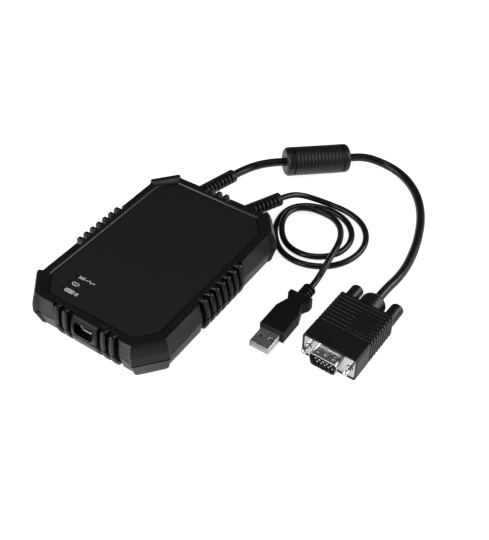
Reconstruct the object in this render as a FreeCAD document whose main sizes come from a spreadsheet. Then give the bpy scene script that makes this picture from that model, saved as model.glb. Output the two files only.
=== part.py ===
import FreeCAD, Part
import math
import os
from types import SimpleNamespace

import Sketcher
from FreeCAD import Placement, Rotation, Vector

# Crash cart adapter, in millimetres and degrees. The origin lies under the middle of the casing, on the
# surface that it stands on. +X is the casing's right side, +Y runs from the USB port to the two cables.

SIZES = {
    # Casing outline at the edge of the top panel: a rectangle with clipped corners. A reach is how far
    # outside that outline something stands.
    "panel_width": 76.3,
    "panel_length": 112.9,
    "clip_width": 9.0,
    "clip_length": 10.7,
    "panel_height": 23.8,
    "lip_rise": 0.85,
    "lip_bevel": 0.85,
    "lip_reach": 5.2,
    "seam_height": 14.0,
    "seam_reach": 7.0,
    "seam_gap": 0.5,
    "rim_step": 0.8,
    "base_height": 3.5,
    "base_reach": 5.0,
    "wall_thickness": 3.0,
    "roof_thickness": 2.0,
    "floor_thickness": 2.0,
    "panel_groove": 0.7,
    "panel_groove_depth": 0.45,
    # Corner bumpers, which are also the feet
    "bumper_height": 26.0,
    "bumper_reach": 10.0,
    "bumper_lean": 3.0,
    "bumper_land": 3.0,
    "bumper_round": 1.2,
    "foot_reach": 6.0,
    "foot_round": 4.0,
    "foot_inset": 2.4,
    # Grip ribs, which stand in bays cut into the walls
    "rib_width": 3.2,
    "rib_pitch": 5.3,
    "rib_round": 0.75,
    "rib_reach": 9.0,
    "rib_height": 25.8,
    "rib_lean": 1.4,
    "rib_shoulder": 1.6,
    "rib_root": 2.6,
    "rib_sink": 0.4,
    "rib_bottom": 2.8,
    "rib_bottom_reach": 5.0,
    "bay_depth": 1.4,
    "bay_top_reach": 2.6,
    "side_ribs": 7,
    "front_ribs": 2,
    "front_rib_first": 13.2,
    "front_rib_pitch": 5.75,
    "rear_ribs": 3,
    "rear_rib_first": -7.4,
    # USB port in the front wall
    "port_x": 1.8,
    "port_block_width": 17.8,
    "port_width": 12.7,
    "port_tall": 7.2,
    "port_round": 2.2,
    "port_rise": 4.4,
    "port_depth": 3.6,
    # Casing screws
    "boss_x": 31.2,
    "boss_y": 49.2,
    "boss_radius": 3.4,
    "screw_radius": 1.2,
    "screw_head_radius": 2.1,
    "screw_head_height": 1.8,
    "screw_length": 14.0,
    "screw_recess": 3.0,
    "screw_clearance": 0.2,
    # Circuit board
    "board_width": 54.0,
    "board_rear": 38.0,
    "board_front": 59.0,
    "board_thickness": 1.6,
    "post_x": 23.0,
    "post_front": 28.0,
    "post_rear": 32.0,
    "post_radius": 2.8,
    "board_screw_radius": 1.0,
    "board_screw_head_radius": 2.0,
    "board_screw_head_height": 1.4,
    "board_screw_length": 6.0,
    # Mini USB socket
    "mini_width": 7.7,
    "mini_tall": 4.0,
    "mini_length": 9.2,
    "mini_sheet": 0.3,
    "mini_proud": 0.3,
    "mini_clearance": 0.2,
    "mini_step": 1.2,
    "mini_tongue": 1.0,
    "mini_contacts": 5,
    "mini_contact_pitch": 0.8,
    # Status lights
    "light_x": -25.6,
    "light_y": -38.5,
    "light_pitch": 5.5,
    "lights": 3,
    "light_radius": 0.95,
    "light_clearance": 0.05,
    "light_sink": 0.15,
    "led_side": 1.8,
    "led_height": 1.0,
    # Cables and strain reliefs
    "vga_cord": 5.4,
    "usb_cord": 3.8,
    "vga_exit": -21.4,
    "usb_exit": 12.2,
    "relief_radius": 4.3,
    "relief_groove": 1.3,
    "relief_groove_width": 1.4,
    "relief_pitch": 2.9,
    "relief_grooves": 8,
    "relief_tip": 3.0,
    "relief_collar": 1.4,
    "relief_collar_length": 2.4,
    "relief_clearance": 0.05,
    "relief_seat_gap": 0.2,
    "lead_radius": 1.8,
    # Ferrite
    "ferrite_radius": 9.5,
    "ferrite_length": 44.0,
    "ferrite_wall": 1.8,
    "ferrite_round": 2.6,
    "ferrite_ribs": 13,
    "ferrite_rib_pitch": 2.4,
    "ferrite_rib_depth": 0.3,
    "ferrite_bore_clearance": 0.1,
    "ferrite_core_clearance": 0.1,
    "ferrite_slot_width": 1.4,
    "ferrite_slot_inset": 5.0,
    "ferrite_slot_chord": 8.0,
    "ferrite_slot_depth": 1.4,
    # VGA plug
    "vga_x": 111.0,
    "vga_y": 0.4,
    "vga_yaw": -2.0,
    "hood_width": 32.7,
    "hood_length": 38.4,
    "hood_height": 15.5,
    "hood_round": 1.4,
    "groove_first": 13.6,
    "groove_pitch": 2.7,
    "groove_width": 1.4,
    "groove_depth": 0.45,
    "grooves": 9,
    "pad_x": 6.2,
    "pad_width": 12.0,
    "pad_first": 17.0,
    "pad_length": 14.0,
    "collar_radius": 7.4,
    "collar_length": 11.5,
    "collar_round": 3.6,
    "flange_width": 30.8,
    "flange_tall": 13.2,
    "flange_thickness": 0.8,
    "flange_sink": 0.3,
    "flange_round": 1.2,
    "flange_clearance": 0.1,
    "dee_width": 17.9,
    "dee_tall": 9.2,
    "dee_round": 2.6,
    "dee_slope": 10.0,
    "dee_length": 6.2,
    "dee_sheet": 0.5,
    "dimple_pitch": 4.6,
    "dimple_radius": 0.9,
    "dimple_rise": 0.3,
    "insert_depth": 6.0,
    "insert_face": 0.6,
    "insert_clearance": 0.05,
    "pin_radius": 0.5,
    "pin_clearance": 0.02,
    "pin_pitch": 2.29,
    "pin_row_pitch": 1.98,
    "pin_length": 5.2,
    "pins_in_row": 5,
    "jack_spacing": 25.0,
    "jack_radius": 1.45,
    "jack_clearance": 0.08,
    "flange_hole_clearance": 0.4,
    "jack_tip": 5.4,
    "knob_radius": 3.9,
    "knob_length": 13.2,
    "knob_gap": 0.4,
    "knob_round": 1.6,
    "knob_hold": 9.0,
    # USB plug
    "usb_x": 75.8,
    "usb_y": 0.4,
    "grip_width": 15.0,
    "grip_height": 8.6,
    "grip_straight": 16.2,
    "waist_width": 9.6,
    "waist_at": 24.0,
    "wing_width": 14.2,
    "wing_at": 28.2,
    "grip_length": 31.2,
    "grip_round": 0.8,
    "tail_radius": 4.0,
    "tail_groove": 1.2,
    "tail_groove_width": 1.2,
    "tail_pitch": 2.5,
    "tail_grooves": 3,
    "tail_length": 10.0,
    "usb_shell_width": 12.0,
    "usb_shell_tall": 4.5,
    "usb_shell_sheet": 0.3,
    "usb_shell_round": 0.6,
    "usb_shell_length": 12.5,
    "usb_shell_hold": 6.0,
    "usb_shell_clearance": 0.04,
    "window_side": 2.3,
    "window_x": 3.3,
    "window_from_tip": 6.6,
    "shell_hole_radius": 0.75,
    "shell_hole_from_tip": 10.0,
    "tongue_thickness": 1.9,
    "tongue_sink": 0.4,
    "usb_contacts": 4,
    "usb_contact_pitch": 2.3,
    "usb_contact_width": 1.1,
    "contact_thickness": 0.15,
}

# Centrelines of the two cables from the tips of their strain reliefs to their plugs. The VGA cable's
# long run passes through the ferrite.
VGA_ROUTE = [
    (-13.4, 94.3, 14.0), (-2.9, 116.3, 14.5), (44.0, 166.6, 8.3),
    (55.3, 172.3, 4.4), (68.2, 171.0, 2.9), (80.6, 163.4, 2.9), (92.2, 151.2, 2.9),
    (102.0, 134.0, 2.9), (109.4, 112.0, 2.9), (113.2, 91.5, 3.6), (114.4, 75.0, 6.2),
]
USB_ROUTE = [
    (23.8, 91.9, 12.8), (31.2, 106.9, 8.8), (39.8, 112.4, 5.0), (49.6, 115.7, 2.4),
    (60.3, 115.6, 2.0), (71.6, 111.4, 2.0), (79.9, 103.0, 2.0), (84.1, 92.0, 2.0), (83.6, 80.0, 2.0),
    (78.4, 68.8, 2.0), (69.0, 60.8, 2.0), (57.4, 57.4, 2.0), (46.4, 59.2, 2.0), (37.2, 65.6, 2.0),
    (29.4, 76.2, 2.0), (26.0, 87.6, 2.0), (26.6, 97.6, 2.0), (31.2, 104.4, 2.0), (38.6, 108.8, 2.0),
    (47.6, 110.7, 2.0), (57.4, 109.8, 2.0), (66.4, 105.2, 2.0), (73.0, 97.2, 2.0), (75.6, 87.4, 2.0),
    (73.6, 77.2, 2.0), (66.8, 69.2, 2.0), (56.8, 65.1, 2.0), (46.2, 66.2, 2.0), (37.6, 72.2, 2.0),
    (31.6, 80.8, 4.2), (29.6, 90.2, 4.8), (31.8, 98.0, 4.6), (38.4, 103.8, 3.6), (48.0, 106.2, 2.0),
    (56.0, 104.6, 2.2), (62.4, 99.6, 3.2), (67.2, 92.4, 5.2), (71.0, 84.4, 7.9), (73.6, 76.4, 9.8),
    (75.6, 62.0, 9.8), (76.0, 54.4, 7.4),
]
# Share of a run that each arc of a cable takes up at both of the run's ends
ARC_SHARE = 0.45

doc = FreeCAD.newDocument("crash_cart_adapter")
sheet = doc.addObject("Spreadsheet::Sheet", "Sizes")
for row_number, (alias, number) in enumerate(SIZES.items(), start=1):
    sheet.set(f"A{row_number}", alias)
    sheet.set(f"B{row_number}", str(number))
    sheet.setAlias(f"B{row_number}", alias)
doc.recompute()


class Size:
    """A number together with the expression that ties it to the sheet."""

    def __init__(self, value, text):
        self.value = value
        self.text = text

    def __add__(self, other):
        other = as_size(other)
        return Size(self.value + other.value, f"({self.text} + {other.text})")

    def __sub__(self, other):
        other = as_size(other)
        return Size(self.value - other.value, f"({self.text} - {other.text})")

    def __mul__(self, other):
        other = as_size(other)
        return Size(self.value * other.value, f"{self.text} * {other.text}")

    def __truediv__(self, other):
        other = as_size(other)
        return Size(self.value / other.value, f"{self.text} / ({other.text})")

    def __neg__(self):
        return Size(-self.value, f"(-1 * {self.text})")

    __radd__ = __add__
    __rmul__ = __mul__

    def __rsub__(self, other):
        return as_size(other) - self


def as_size(value):
    return value if isinstance(value, Size) else Size(float(value), repr(float(value)))


def slope(rise, run):
    """The slope of rise over run, in degrees."""
    degrees = math.degrees(math.atan2(rise.value, run.value))
    return Size(degrees, f"atan({rise.text} / ({run.text})) / (1 deg)")


def trig(name, degrees):
    """sin, cos or tan of an angle given as a size."""
    value = getattr(math, name)(math.radians(degrees.value))
    return Size(value, f"{name}({degrees.text})")


s = SimpleNamespace(**{alias: Size(float(sheet.get(alias)), f"Sizes.{alias}") for alias in SIZES})
ZERO = as_size(0)


def count_of(size):
    return round(size.value)


def bind(item, prop, size):
    """Tie a property to the sheet."""
    item.setExpression(prop, as_size(size).text)


# Sketches and features

def origin_item(body, role):
    return next(item for item in body.Origin.OriginFeatures if item.Role == role)


def new_body(label):
    return doc.addObject("PartDesign::Body", label)


def arc_between(start, end, radius):
    """The shorter arc between two points, with its centre to the left for a positive radius."""
    chord = end - start
    side = Vector(-chord.y, chord.x, 0).normalize()
    height = math.sqrt(max(radius ** 2 - chord.Length ** 2 / 4, 0))
    centre = (start + end) * 0.5 + side * math.copysign(height, radius)
    first, last = (start, end) if radius > 0 else (end, start)
    begin = math.atan2(first.y - centre.y, first.x - centre.x)
    finish = math.atan2(last.y - centre.y, last.x - centre.x)
    if finish <= begin:
        finish += 2 * math.pi
    return Part.ArcOfCircle(Part.Circle(centre, Vector(0, 0, 1), abs(radius)), begin, finish)


def new_sketch(body, label, plane, at):
    """An empty sketch on one of the body's planes, moved along its own axis to the place at."""
    sketch = body.newObject("Sketcher::SketchObject", label)
    sketch.AttachmentSupport = (origin_item(body, plane), [""])
    sketch.MapMode = "FlatFace"
    lift = -as_size(at) if plane == "XZ_Plane" else as_size(at)
    sketch.AttachmentOffset = Placement(Vector(0, 0, lift.value), Rotation())
    bind(sketch, "AttachmentOffset.Base.z", lift)
    return sketch


def place_rules(geometry, position, point):
    """Constraints, with their sizes, that hold a point at its place from the sketch's origin."""
    return [
        (Sketcher.Constraint(kind, -1, 1, geometry, position, as_size(size).value), size)
        for kind, size in zip(("DistanceX", "DistanceY"), point)
    ]


def add_rules(sketch, rules):
    """Add constraints and tie those that have a size to the sheet."""
    first = sketch.ConstraintCount
    sketch.addConstraint([rule for rule, _ in rules])
    for number, (_, size) in enumerate(rules, start=first):
        if size is not None:
            bind(sketch, f"Constraints[{number}]", size)


def add_loop(sketch, points, bows=None):
    """A closed outline: straight from point to point, or an arc from each point that bows names, with
    the radius given there, negative where the arc's centre lies to the right."""
    bows = {index: as_size(radius) for index, radius in (bows or {}).items()}
    places = [Vector(as_size(x).value, as_size(y).value, 0) for x, y in points]
    following = places[1:] + places[:1]
    first = sketch.GeometryCount
    sketch.addGeometry([
        arc_between(place, after, bows[index].value) if index in bows else Part.LineSegment(place, after)
        for index, (place, after) in enumerate(zip(places, following))
    ], False)
    ends = [
        (2, 1) if index in bows and bows[index].value < 0 else (1, 2) for index in range(len(points))
    ]
    rules = []
    for index, point in enumerate(points):
        after = (index + 1) % len(points)
        rules.append((Sketcher.Constraint(
            "Coincident", first + index, ends[index][1], first + after, ends[after][0]), None))
        rules += place_rules(first + index, ends[index][0], point)
        if index in bows:
            radius = bows[index] if bows[index].value > 0 else -bows[index]
            rules.append((Sketcher.Constraint("Radius", first + index, radius.value), radius))
    add_rules(sketch, rules)


def outline(body, label, plane, points, at=0, bows=None):
    sketch = new_sketch(body, label, plane, at)
    add_loop(sketch, points, bows)
    return sketch


def circles(body, label, plane, centres, radius, at=0):
    sketch = new_sketch(body, label, plane, at)
    rules = []
    for number, (x, y) in enumerate(centres):
        centre = Vector(as_size(x).value, as_size(y).value, 0)
        sketch.addGeometry(Part.Circle(centre, Vector(0, 0, 1), radius.value), False)
        rules += place_rules(number, 3, (x, y))
        rules.append((Sketcher.Constraint("Radius", number, radius.value), radius))
    add_rules(sketch, rules)
    return sketch


def rectangle(centre_x, centre_y, width, height):
    """Corners of a rectangle, anticlockwise."""
    left, right = centre_x - width / 2, centre_x + width / 2
    low, high = centre_y - height / 2, centre_y + height / 2
    return [(left, low), (right, low), (right, high), (left, high)]


def rounded_rectangle(centre_x, centre_y, width, height, radius):
    """Points and arcs of a rectangle with round corners, anticlockwise."""
    left, right = centre_x - width / 2, centre_x + width / 2
    low, high = centre_y - height / 2, centre_y + height / 2
    points = [
        (left + radius, low), (right - radius, low), (right, low + radius), (right, high - radius),
        (right - radius, high), (left + radius, high), (left, high - radius), (left, low + radius),
    ]
    return points, {1: radius, 3: radius, 5: radius, 7: radius}


def extrude(kind, profile, length, symmetric=False, reverse=False):
    """A pad along the sketch's normal or a pocket against it, unless reversed."""
    body = profile.getParentGeoFeatureGroup()
    feature = body.newObject(f"PartDesign::{kind}", f"{profile.Name}_{kind.lower()}")
    feature.Profile = profile
    feature.SideType = "Symmetric" if symmetric else "One side"
    feature.Reversed = reverse
    bind(feature, "Length", length)
    return feature


def loft(kind, sections):
    body = sections[0].getParentGeoFeatureGroup()
    feature = body.newObject(f"PartDesign::{kind}Loft", f"{sections[0].Name}_loft")
    feature.Profile = sections[0]
    feature.Sections = sections[1:]
    feature.Ruled = True
    return feature


def revolve(profile):
    """A full turn about the sketch's upright axis."""
    body = profile.getParentGeoFeatureGroup()
    feature = body.newObject("PartDesign::Revolution", f"{profile.Name}_turned")
    feature.Profile = profile
    feature.ReferenceAxis = (profile, ["V_Axis"])
    feature.Angle = 360
    return feature


def pattern(feature, axis, pitch, count):
    body = feature.getParentGeoFeatureGroup()
    result = body.newObject("PartDesign::LinearPattern", f"{feature.Name}_row")
    result.Originals = [feature]
    result.Direction = (origin_item(body, axis), [""])
    result.Mode = "Spacing"
    bind(result, "Offset", pitch)
    bind(result, "Occurrences", count)
    body.Tip = result
    return result


def box(label, corner, lengths):
    item = doc.addObject("Part::Box", label)
    for prop, size in zip(("Length", "Width", "Height"), lengths):
        bind(item, prop, size)
    for axis, size in zip("xyz", corner):
        bind(item, f"Placement.Base.{axis}", size)
    return item


def centred_box(label, centre_x, centre_y, bottom, lengths):
    corner = (centre_x - lengths[0] / 2, centre_y - lengths[1] / 2, bottom)
    return box(label, corner, lengths)


def post(label, centre_x, centre_y, bottom, radius, height):
    """An upright cylinder."""
    item = doc.addObject("Part::Cylinder", label)
    bind(item, "Radius", radius)
    bind(item, "Height", height)
    for axis, size in zip("xyz", (centre_x, centre_y, bottom)):
        bind(item, f"Placement.Base.{axis}", size)
    return item


def group(label, items):
    result = doc.addObject("Part::Compound", label)
    result.Links = items
    return result


def fuse(label, items):
    result = doc.addObject("Part::MultiFuse", label)
    result.Shapes = items
    return result


def cut(label, base, tools):
    """The base less all the tools."""
    result = doc.addObject("Part::Cut", label)
    result.Base = base
    result.Tool = tools[0] if len(tools) == 1 else fuse(f"{label}_cutters", tools)
    return result


# Cables: straight runs joined by arcs as large as the runs allow

def cable_path(points):
    """The centreline through the points, and the radii of its arcs."""
    edges = []
    radii = []
    last = points[0]
    for before, corner, after in zip(points, points[1:], points[2:]):
        inward = (before - corner).normalize()
        onward = (after - corner).normalize()
        turn = math.pi - inward.getAngle(onward)
        reach = ARC_SHARE * min((before - corner).Length, (after - corner).Length)
        radius = reach / math.tan(turn / 2)
        start = corner + inward * reach
        end = corner + onward * reach
        bisector = (inward + onward).normalize()
        middle = corner + bisector * (radius / math.cos(turn / 2) - radius)
        edges.append(Part.LineSegment(last, start).toShape())
        edges.append(Part.Arc(start, middle, end).toShape())
        radii.append(radius)
        last = end
    edges.append(Part.LineSegment(last, points[-1]).toShape())
    return Part.Wire(edges), radii


def cable(label, points, radius):
    """A round solid along the points, checked against its section times its length."""
    path, radii = cable_path(points)
    direction = points[1] - points[0]
    section = Part.Wire(Part.Circle(points[0], direction, radius.value).toShape())
    tube = path.makePipeShell([section], True, False)
    expected = math.pi * radius.value ** 2 * path.Length
    if abs(tube.Volume - expected) > 0.01 * expected:
        raise ValueError(f"{label} has the wrong volume: {tube.Volume:.1f} for {expected:.1f}")
    print(f"{label}: length {path.Length:.1f}, radii {[round(value, 1) for value in radii]}")
    item = doc.addObject("Part::Feature", label)
    item.Shape = tube
    return item


# Heights and outlines that several pieces share

half_width = s.panel_width / 2
half_length = s.panel_length / 2
lip_top = s.panel_height + s.lip_rise
roof_under = s.panel_height - s.roof_thickness
parting = s.seam_height - s.seam_gap
floor_top = s.base_height + s.floor_thickness
port_height = s.seam_height + s.port_rise
board_top = port_height - s.mini_tall / 2
board_bottom = board_top - s.board_thickness
side_slope = slope(s.clip_width, s.clip_length)
end_slope = slope(s.clip_length, s.clip_width)
side_factor = trig("tan", side_slope / 2)
end_factor = trig("tan", end_slope / 2)
clip_run = Size(math.hypot(s.clip_width.value, s.clip_length.value),
                f"sqrt({s.clip_width.text}^2 + {s.clip_length.text}^2)")


def side_corner(reach):
    """Where a side wall meets the clipped corner, for an outline that stands out by reach."""
    return half_width + reach, half_length - s.clip_length + reach * side_factor


def end_corner(reach):
    """Where an end wall meets the clipped corner, for an outline that stands out by reach."""
    return half_width - s.clip_width + reach * end_factor, half_length + reach


def casing_outline(reach):
    """The clipped rectangle, anticlockwise from the front end of the right side."""
    (side_x, side_y), (end_x, end_y) = side_corner(reach), end_corner(reach)
    return [
        (side_x, -side_y), (side_x, side_y), (end_x, end_y), (-end_x, end_y),
        (-side_x, side_y), (-side_x, -side_y), (-end_x, -end_y), (end_x, -end_y),
    ]


def casing_level(body, label, reach, height):
    return outline(body, label, "XY_Plane", casing_outline(reach), height)


CORNERS = [(1, 1), (-1, 1), (-1, -1), (1, -1)]
# Heights at which a foot's rounding is drawn, as shares of it
FOOT_LEVELS = (0, 0.25, 0.6, 1)


def rounding_cut(corner_slope):
    """How far from a bumper's outer corner its rounding starts, along the outer face and as reach along
    the flank."""
    cut_length = s.bumper_round / trig("tan", 45 - corner_slope / 4)
    return cut_length, cut_length * trig("cos", corner_slope / 2)


def corner_level(body, label, corner, root, reach, height, inset=ZERO):
    """The plan of a bumper at one height: from root to reach outside the corner, with its outer face
    rounded at both ends and shortened there by inset."""
    across, along = corner
    along_x, along_y = s.clip_width / clip_run, s.clip_length / clip_run
    side_cut, side_back = rounding_cut(side_slope)
    end_cut, end_back = rounding_cut(end_slope)
    points = [side_corner(root)]
    for (x, y), shift in ((side_corner(reach - side_back), inset), (side_corner(reach), inset + side_cut)):
        points.append((x - along_x * shift, y + along_y * shift))
    for (x, y), shift in ((end_corner(reach), inset + end_cut), (end_corner(reach - end_back), inset)):
        points.append((x + along_x * shift, y - along_y * shift))
    points.append(end_corner(root))
    points = [(across * x, along * y) for x, y in points]
    radius = across * along * s.bumper_round
    return outline(body, label, "XY_Plane", points, height, {1: radius, 3: radius})


def bumper_reach_at(height):
    """How far a bumper stands out above the seam, where it bows inwards."""
    share = (height - s.seam_height) / (s.bumper_height - s.seam_height)
    return s.bumper_reach - s.bumper_lean * share * share


def bow_radius(rise, bulge):
    """The radius of an arc that leaves upright and draws in by bulge over rise."""
    return (rise * rise + bulge * bulge) / (2 * bulge)


# Side profiles of the bays, as reach and height
UPPER_BAY = [
    (s.seam_reach - s.bay_depth, s.seam_height), (s.rib_reach, s.seam_height), (s.rib_reach, s.rib_height),
    (s.bay_top_reach, s.rib_height), (s.bay_top_reach, lip_top),
]
LOWER_BAY = [
    (s.base_reach - s.bay_depth, s.rib_bottom), (s.rib_reach, s.rib_bottom), (s.rib_reach, s.seam_height),
    (s.seam_reach - s.bay_depth, s.seam_height),
]
base_root = s.base_reach - s.bay_depth - s.rib_sink
seam_root = s.seam_reach - s.bay_depth - s.rib_sink


def upper_rib(inset):
    """Side profile of a rib above the seam, as reach and height, and its arcs' radii."""
    top = s.rib_height - inset
    shoulder = top - s.rib_shoulder
    outer, inner = s.rib_reach - inset, s.rib_reach - s.rib_lean - inset
    points = [
        (seam_root, s.seam_height), (outer, s.seam_height), (inner, shoulder), (inner - s.rib_shoulder, top),
        (s.rib_root + s.rib_height - lip_top, top), (s.rib_root, lip_top),
        (s.rib_root - s.rib_sink, s.panel_height),
    ]
    return points, {1: bow_radius(shoulder - s.seam_height, s.rib_lean), 2: s.rib_shoulder}


def upper_block(inset):
    """Side profile of the block round the port above the seam, flush with the lip."""
    outer, inner = s.rib_reach - inset, s.lip_reach - inset
    points = [
        (seam_root, s.seam_height), (outer, s.seam_height), (inner, lip_top),
        (s.bay_top_reach - s.rib_sink, lip_top),
    ]
    return points, {1: bow_radius(lip_top - s.seam_height, outer - inner)}


def lower_rib(inset):
    """Side profile of a rib below the seam."""
    bottom = s.rib_bottom + inset
    outer, inner = s.rib_reach - inset, s.rib_bottom_reach - inset
    points = [(base_root, bottom), (inner, bottom), (outer, parting), (seam_root, parting)]
    return points, {1: bow_radius(parting - bottom, outer - inner)}


def bowed_rib(body, label, plane, side, wall, centre, width, profile):
    """One rib that bows out over a wall, with its flanks bevelled."""
    sections = []
    edges = (-width / 2, s.rib_round - width / 2, width / 2 - s.rib_round, width / 2)
    for number, (edge, inset) in enumerate(zip(edges, (s.rib_round, ZERO, ZERO, s.rib_round))):
        points, radii = profile(inset)
        points = [(side * (wall + reach), height) for reach, height in points]
        bows = {index: side * radius for index, radius in radii.items()}
        sections.append(outline(body, f"{label}_{number}", plane, points, centre + edge, bows))
    return loft("Additive", sections)


def cut_bay(body, label, plane, side, wall, centre, length, profile):
    """A hollow along a wall, from which a row of ribs stands out."""
    points = [(side * (wall + reach), height) for reach, height in profile]
    extrude("Pocket", outline(body, label, plane, points, centre), length, symmetric=True)


def cut_bays(body, profile):
    """The bays of one half of the casing, each with a rib's gap beyond its last ribs."""
    margin = s.rib_width + 2 * (s.rib_pitch - s.rib_width)
    side_run = (s.side_ribs - 1) * s.rib_pitch
    for name, side in (("right", 1), ("left", -1)):
        cut_bay(body, f"{name}_bay", "XZ_Plane", side, half_width, ZERO, side_run + margin, profile)
    front_run = 2 * (s.front_rib_first + (s.front_ribs - 1) * s.front_rib_pitch)
    cut_bay(body, "front_bay", "YZ_Plane", -1, half_length, s.port_x, front_run + margin, profile)
    rear_run = (s.rear_ribs - 1) * s.rib_pitch
    cut_bay(body, "rear_bay", "YZ_Plane", 1, half_length, s.rear_rib_first + rear_run / 2,
            rear_run + margin, profile)


def add_ribs(body, profile):
    """All the grip ribs of one half of the casing."""
    first = -(s.side_ribs - 1) * s.rib_pitch / 2
    front_run = (s.front_ribs - 1) * s.front_rib_pitch
    for name, side in (("right", 1), ("left", -1)):
        rib = bowed_rib(body, f"{name}_rib", "XZ_Plane", side, half_width, first, s.rib_width, profile)
        pattern(rib, "Y_Axis", s.rib_pitch, s.side_ribs)
        start = s.port_x + (s.front_rib_first if side > 0 else -s.front_rib_first - front_run)
        rib = bowed_rib(
            body, f"front_{name}_rib", "YZ_Plane", -1, half_length, start, s.rib_width, profile)
        pattern(rib, "X_Axis", s.front_rib_pitch, s.front_ribs)
    rib = bowed_rib(
        body, "rear_rib", "YZ_Plane", 1, half_length, s.rear_rib_first, s.rib_width, profile)
    pattern(rib, "X_Axis", s.rib_pitch, s.rear_ribs)


def cut_port(body):
    """The round-cornered recess of the mini USB socket, and the hole behind it that the socket fills."""
    front = -half_length - s.rib_reach
    points, bows = rounded_rectangle(s.port_x, port_height, s.port_width, s.port_tall, s.port_round)
    recess = outline(body, "port_recess", "XZ_Plane", points, front, bows)
    extrude("Pocket", recess, s.port_depth + s.mini_proud)
    gap = 2 * s.mini_clearance
    hole = outline(body, "socket_hole", "XZ_Plane", rectangle(
        s.port_x, port_height, s.mini_width + gap, s.mini_tall + gap), front)
    extrude("Pocket", hole, s.rib_reach - s.lip_reach + s.wall_thickness)


def at_corners(x, y):
    return [(across * x, along * y) for across, along in CORNERS]


boss_places = at_corners(s.boss_x, s.boss_y)
post_places = [
    (-s.post_x, -s.post_front), (s.post_x, -s.post_front), (-s.post_x, s.post_rear), (s.post_x, s.post_rear),
]
light_places = [(s.light_x, s.light_y - number * s.light_pitch) for number in range(count_of(s.lights))]


# Where the cables leave the rear wall

def vector_of(point):
    return Vector(*(as_size(number).value for number in point))


wall_rear = half_length + s.seam_reach
vga_exit = vector_of((s.vga_exit, wall_rear, s.seam_height))
usb_exit = vector_of((s.usb_exit, wall_rear, s.seam_height))
vga_tip = Vector(*VGA_ROUTE[0])
usb_tip = Vector(*USB_ROUTE[0])


def axis_frame(base, direction):
    """A frame at base whose Z runs along the direction."""
    return Placement(base, Rotation(Vector(0, 0, 1), direction))


def relief_seat(exit_point, tip):
    """How far behind the wall's outer face a strain relief's collar starts, so that its rim just clears
    the sloping walls inside."""
    axis = (tip - exit_point).normalize()
    upper_lean = (s.seam_reach - s.lip_reach) / (roof_under - s.seam_height)
    lower_lean = (s.seam_reach - s.base_reach) / (s.seam_height - floor_top)
    lean = math.hypot(axis.x, axis.z, max(upper_lean.value, lower_lean.value))
    return (s.wall_thickness + (s.relief_radius + s.relief_collar) * lean) / axis.y + s.relief_seat_gap


def cut_relief_hole(body, label, exit_x, exit_point, tip):
    """A hole through the rear wall along the axis of a strain relief."""
    hole = circles(body, label, "XZ_Plane", [(ZERO, ZERO)], s.relief_radius + s.relief_clearance, wall_rear)
    axis = tip - exit_point
    hole.AttachmentOffset = Placement(
        Vector(exit_point.x, exit_point.z, -exit_point.y),
        Rotation(Vector(0, 0, 1), Vector(axis.x, axis.z, -axis.y)))
    bind(hole, "AttachmentOffset.Base.x", exit_x)
    bind(hole, "AttachmentOffset.Base.y", s.seam_height)
    extrude("Pocket", hole, 2 * (s.seam_reach + relief_seat(exit_point, tip)), symmetric=True)


# Casing

def make_upper_shell():
    body = new_body("upper_shell")
    loft("Additive", [
        casing_level(body, "upper_seam", s.seam_reach, s.seam_height),
        casing_level(body, "upper_edge", s.lip_reach, lip_top),
    ])
    top_reach = bumper_reach_at(s.bumper_height)
    for number, corner in enumerate(CORNERS):
        levels = []
        for height, root in ((s.seam_height, ZERO), ((s.seam_height + s.panel_height) / 2, ZERO),
                             (s.panel_height, ZERO), (s.bumper_height, top_reach - s.bumper_land)):
            label = f"bumper_{number}_{len(levels)}"
            levels.append(corner_level(body, label, corner, root, bumper_reach_at(height), height))
        loft("Additive", levels)
    loft("Subtractive", [
        casing_level(body, "panel_foot", ZERO, s.panel_height),
        casing_level(body, "panel_rim", s.lip_bevel, lip_top),
    ])
    groove = casing_level(body, "panel_groove", ZERO, s.panel_height)
    add_loop(groove, casing_outline(-s.panel_groove))
    extrude("Pocket", groove, s.panel_groove_depth)
    loft("Subtractive", [
        casing_level(body, "upper_cavity_seam", s.seam_reach - s.wall_thickness, s.seam_height),
        casing_level(body, "upper_cavity_roof", s.lip_reach - s.wall_thickness, roof_under),
    ])
    bosses = circles(body, "upper_bosses", "XY_Plane", boss_places, s.boss_radius, s.seam_height)
    extrude("Pad", bosses, roof_under + s.roof_thickness / 2 - s.seam_height)
    pilots = circles(
        body, "pilot_holes", "XY_Plane", boss_places, s.screw_radius + s.light_clearance, s.seam_height)
    extrude("Pocket", pilots, roof_under - s.seam_height, reverse=True)
    lights = circles(
        body, "light_holes", "XY_Plane", light_places, s.light_radius + s.light_clearance, lip_top)
    extrude("Pocket", lights, s.lip_rise + 2 * s.roof_thickness)
    cut_relief_hole(body, "upper_vga_hole", s.vga_exit, vga_exit, vga_tip)
    cut_relief_hole(body, "upper_usb_hole", s.usb_exit, usb_exit, usb_tip)
    cut_bays(body, UPPER_BAY)
    bowed_rib(body, "port_block", "YZ_Plane", -1, half_length, s.port_x, s.port_block_width, upper_block)
    cut_port(body)
    add_ribs(body, upper_rib)
    return body


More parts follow.
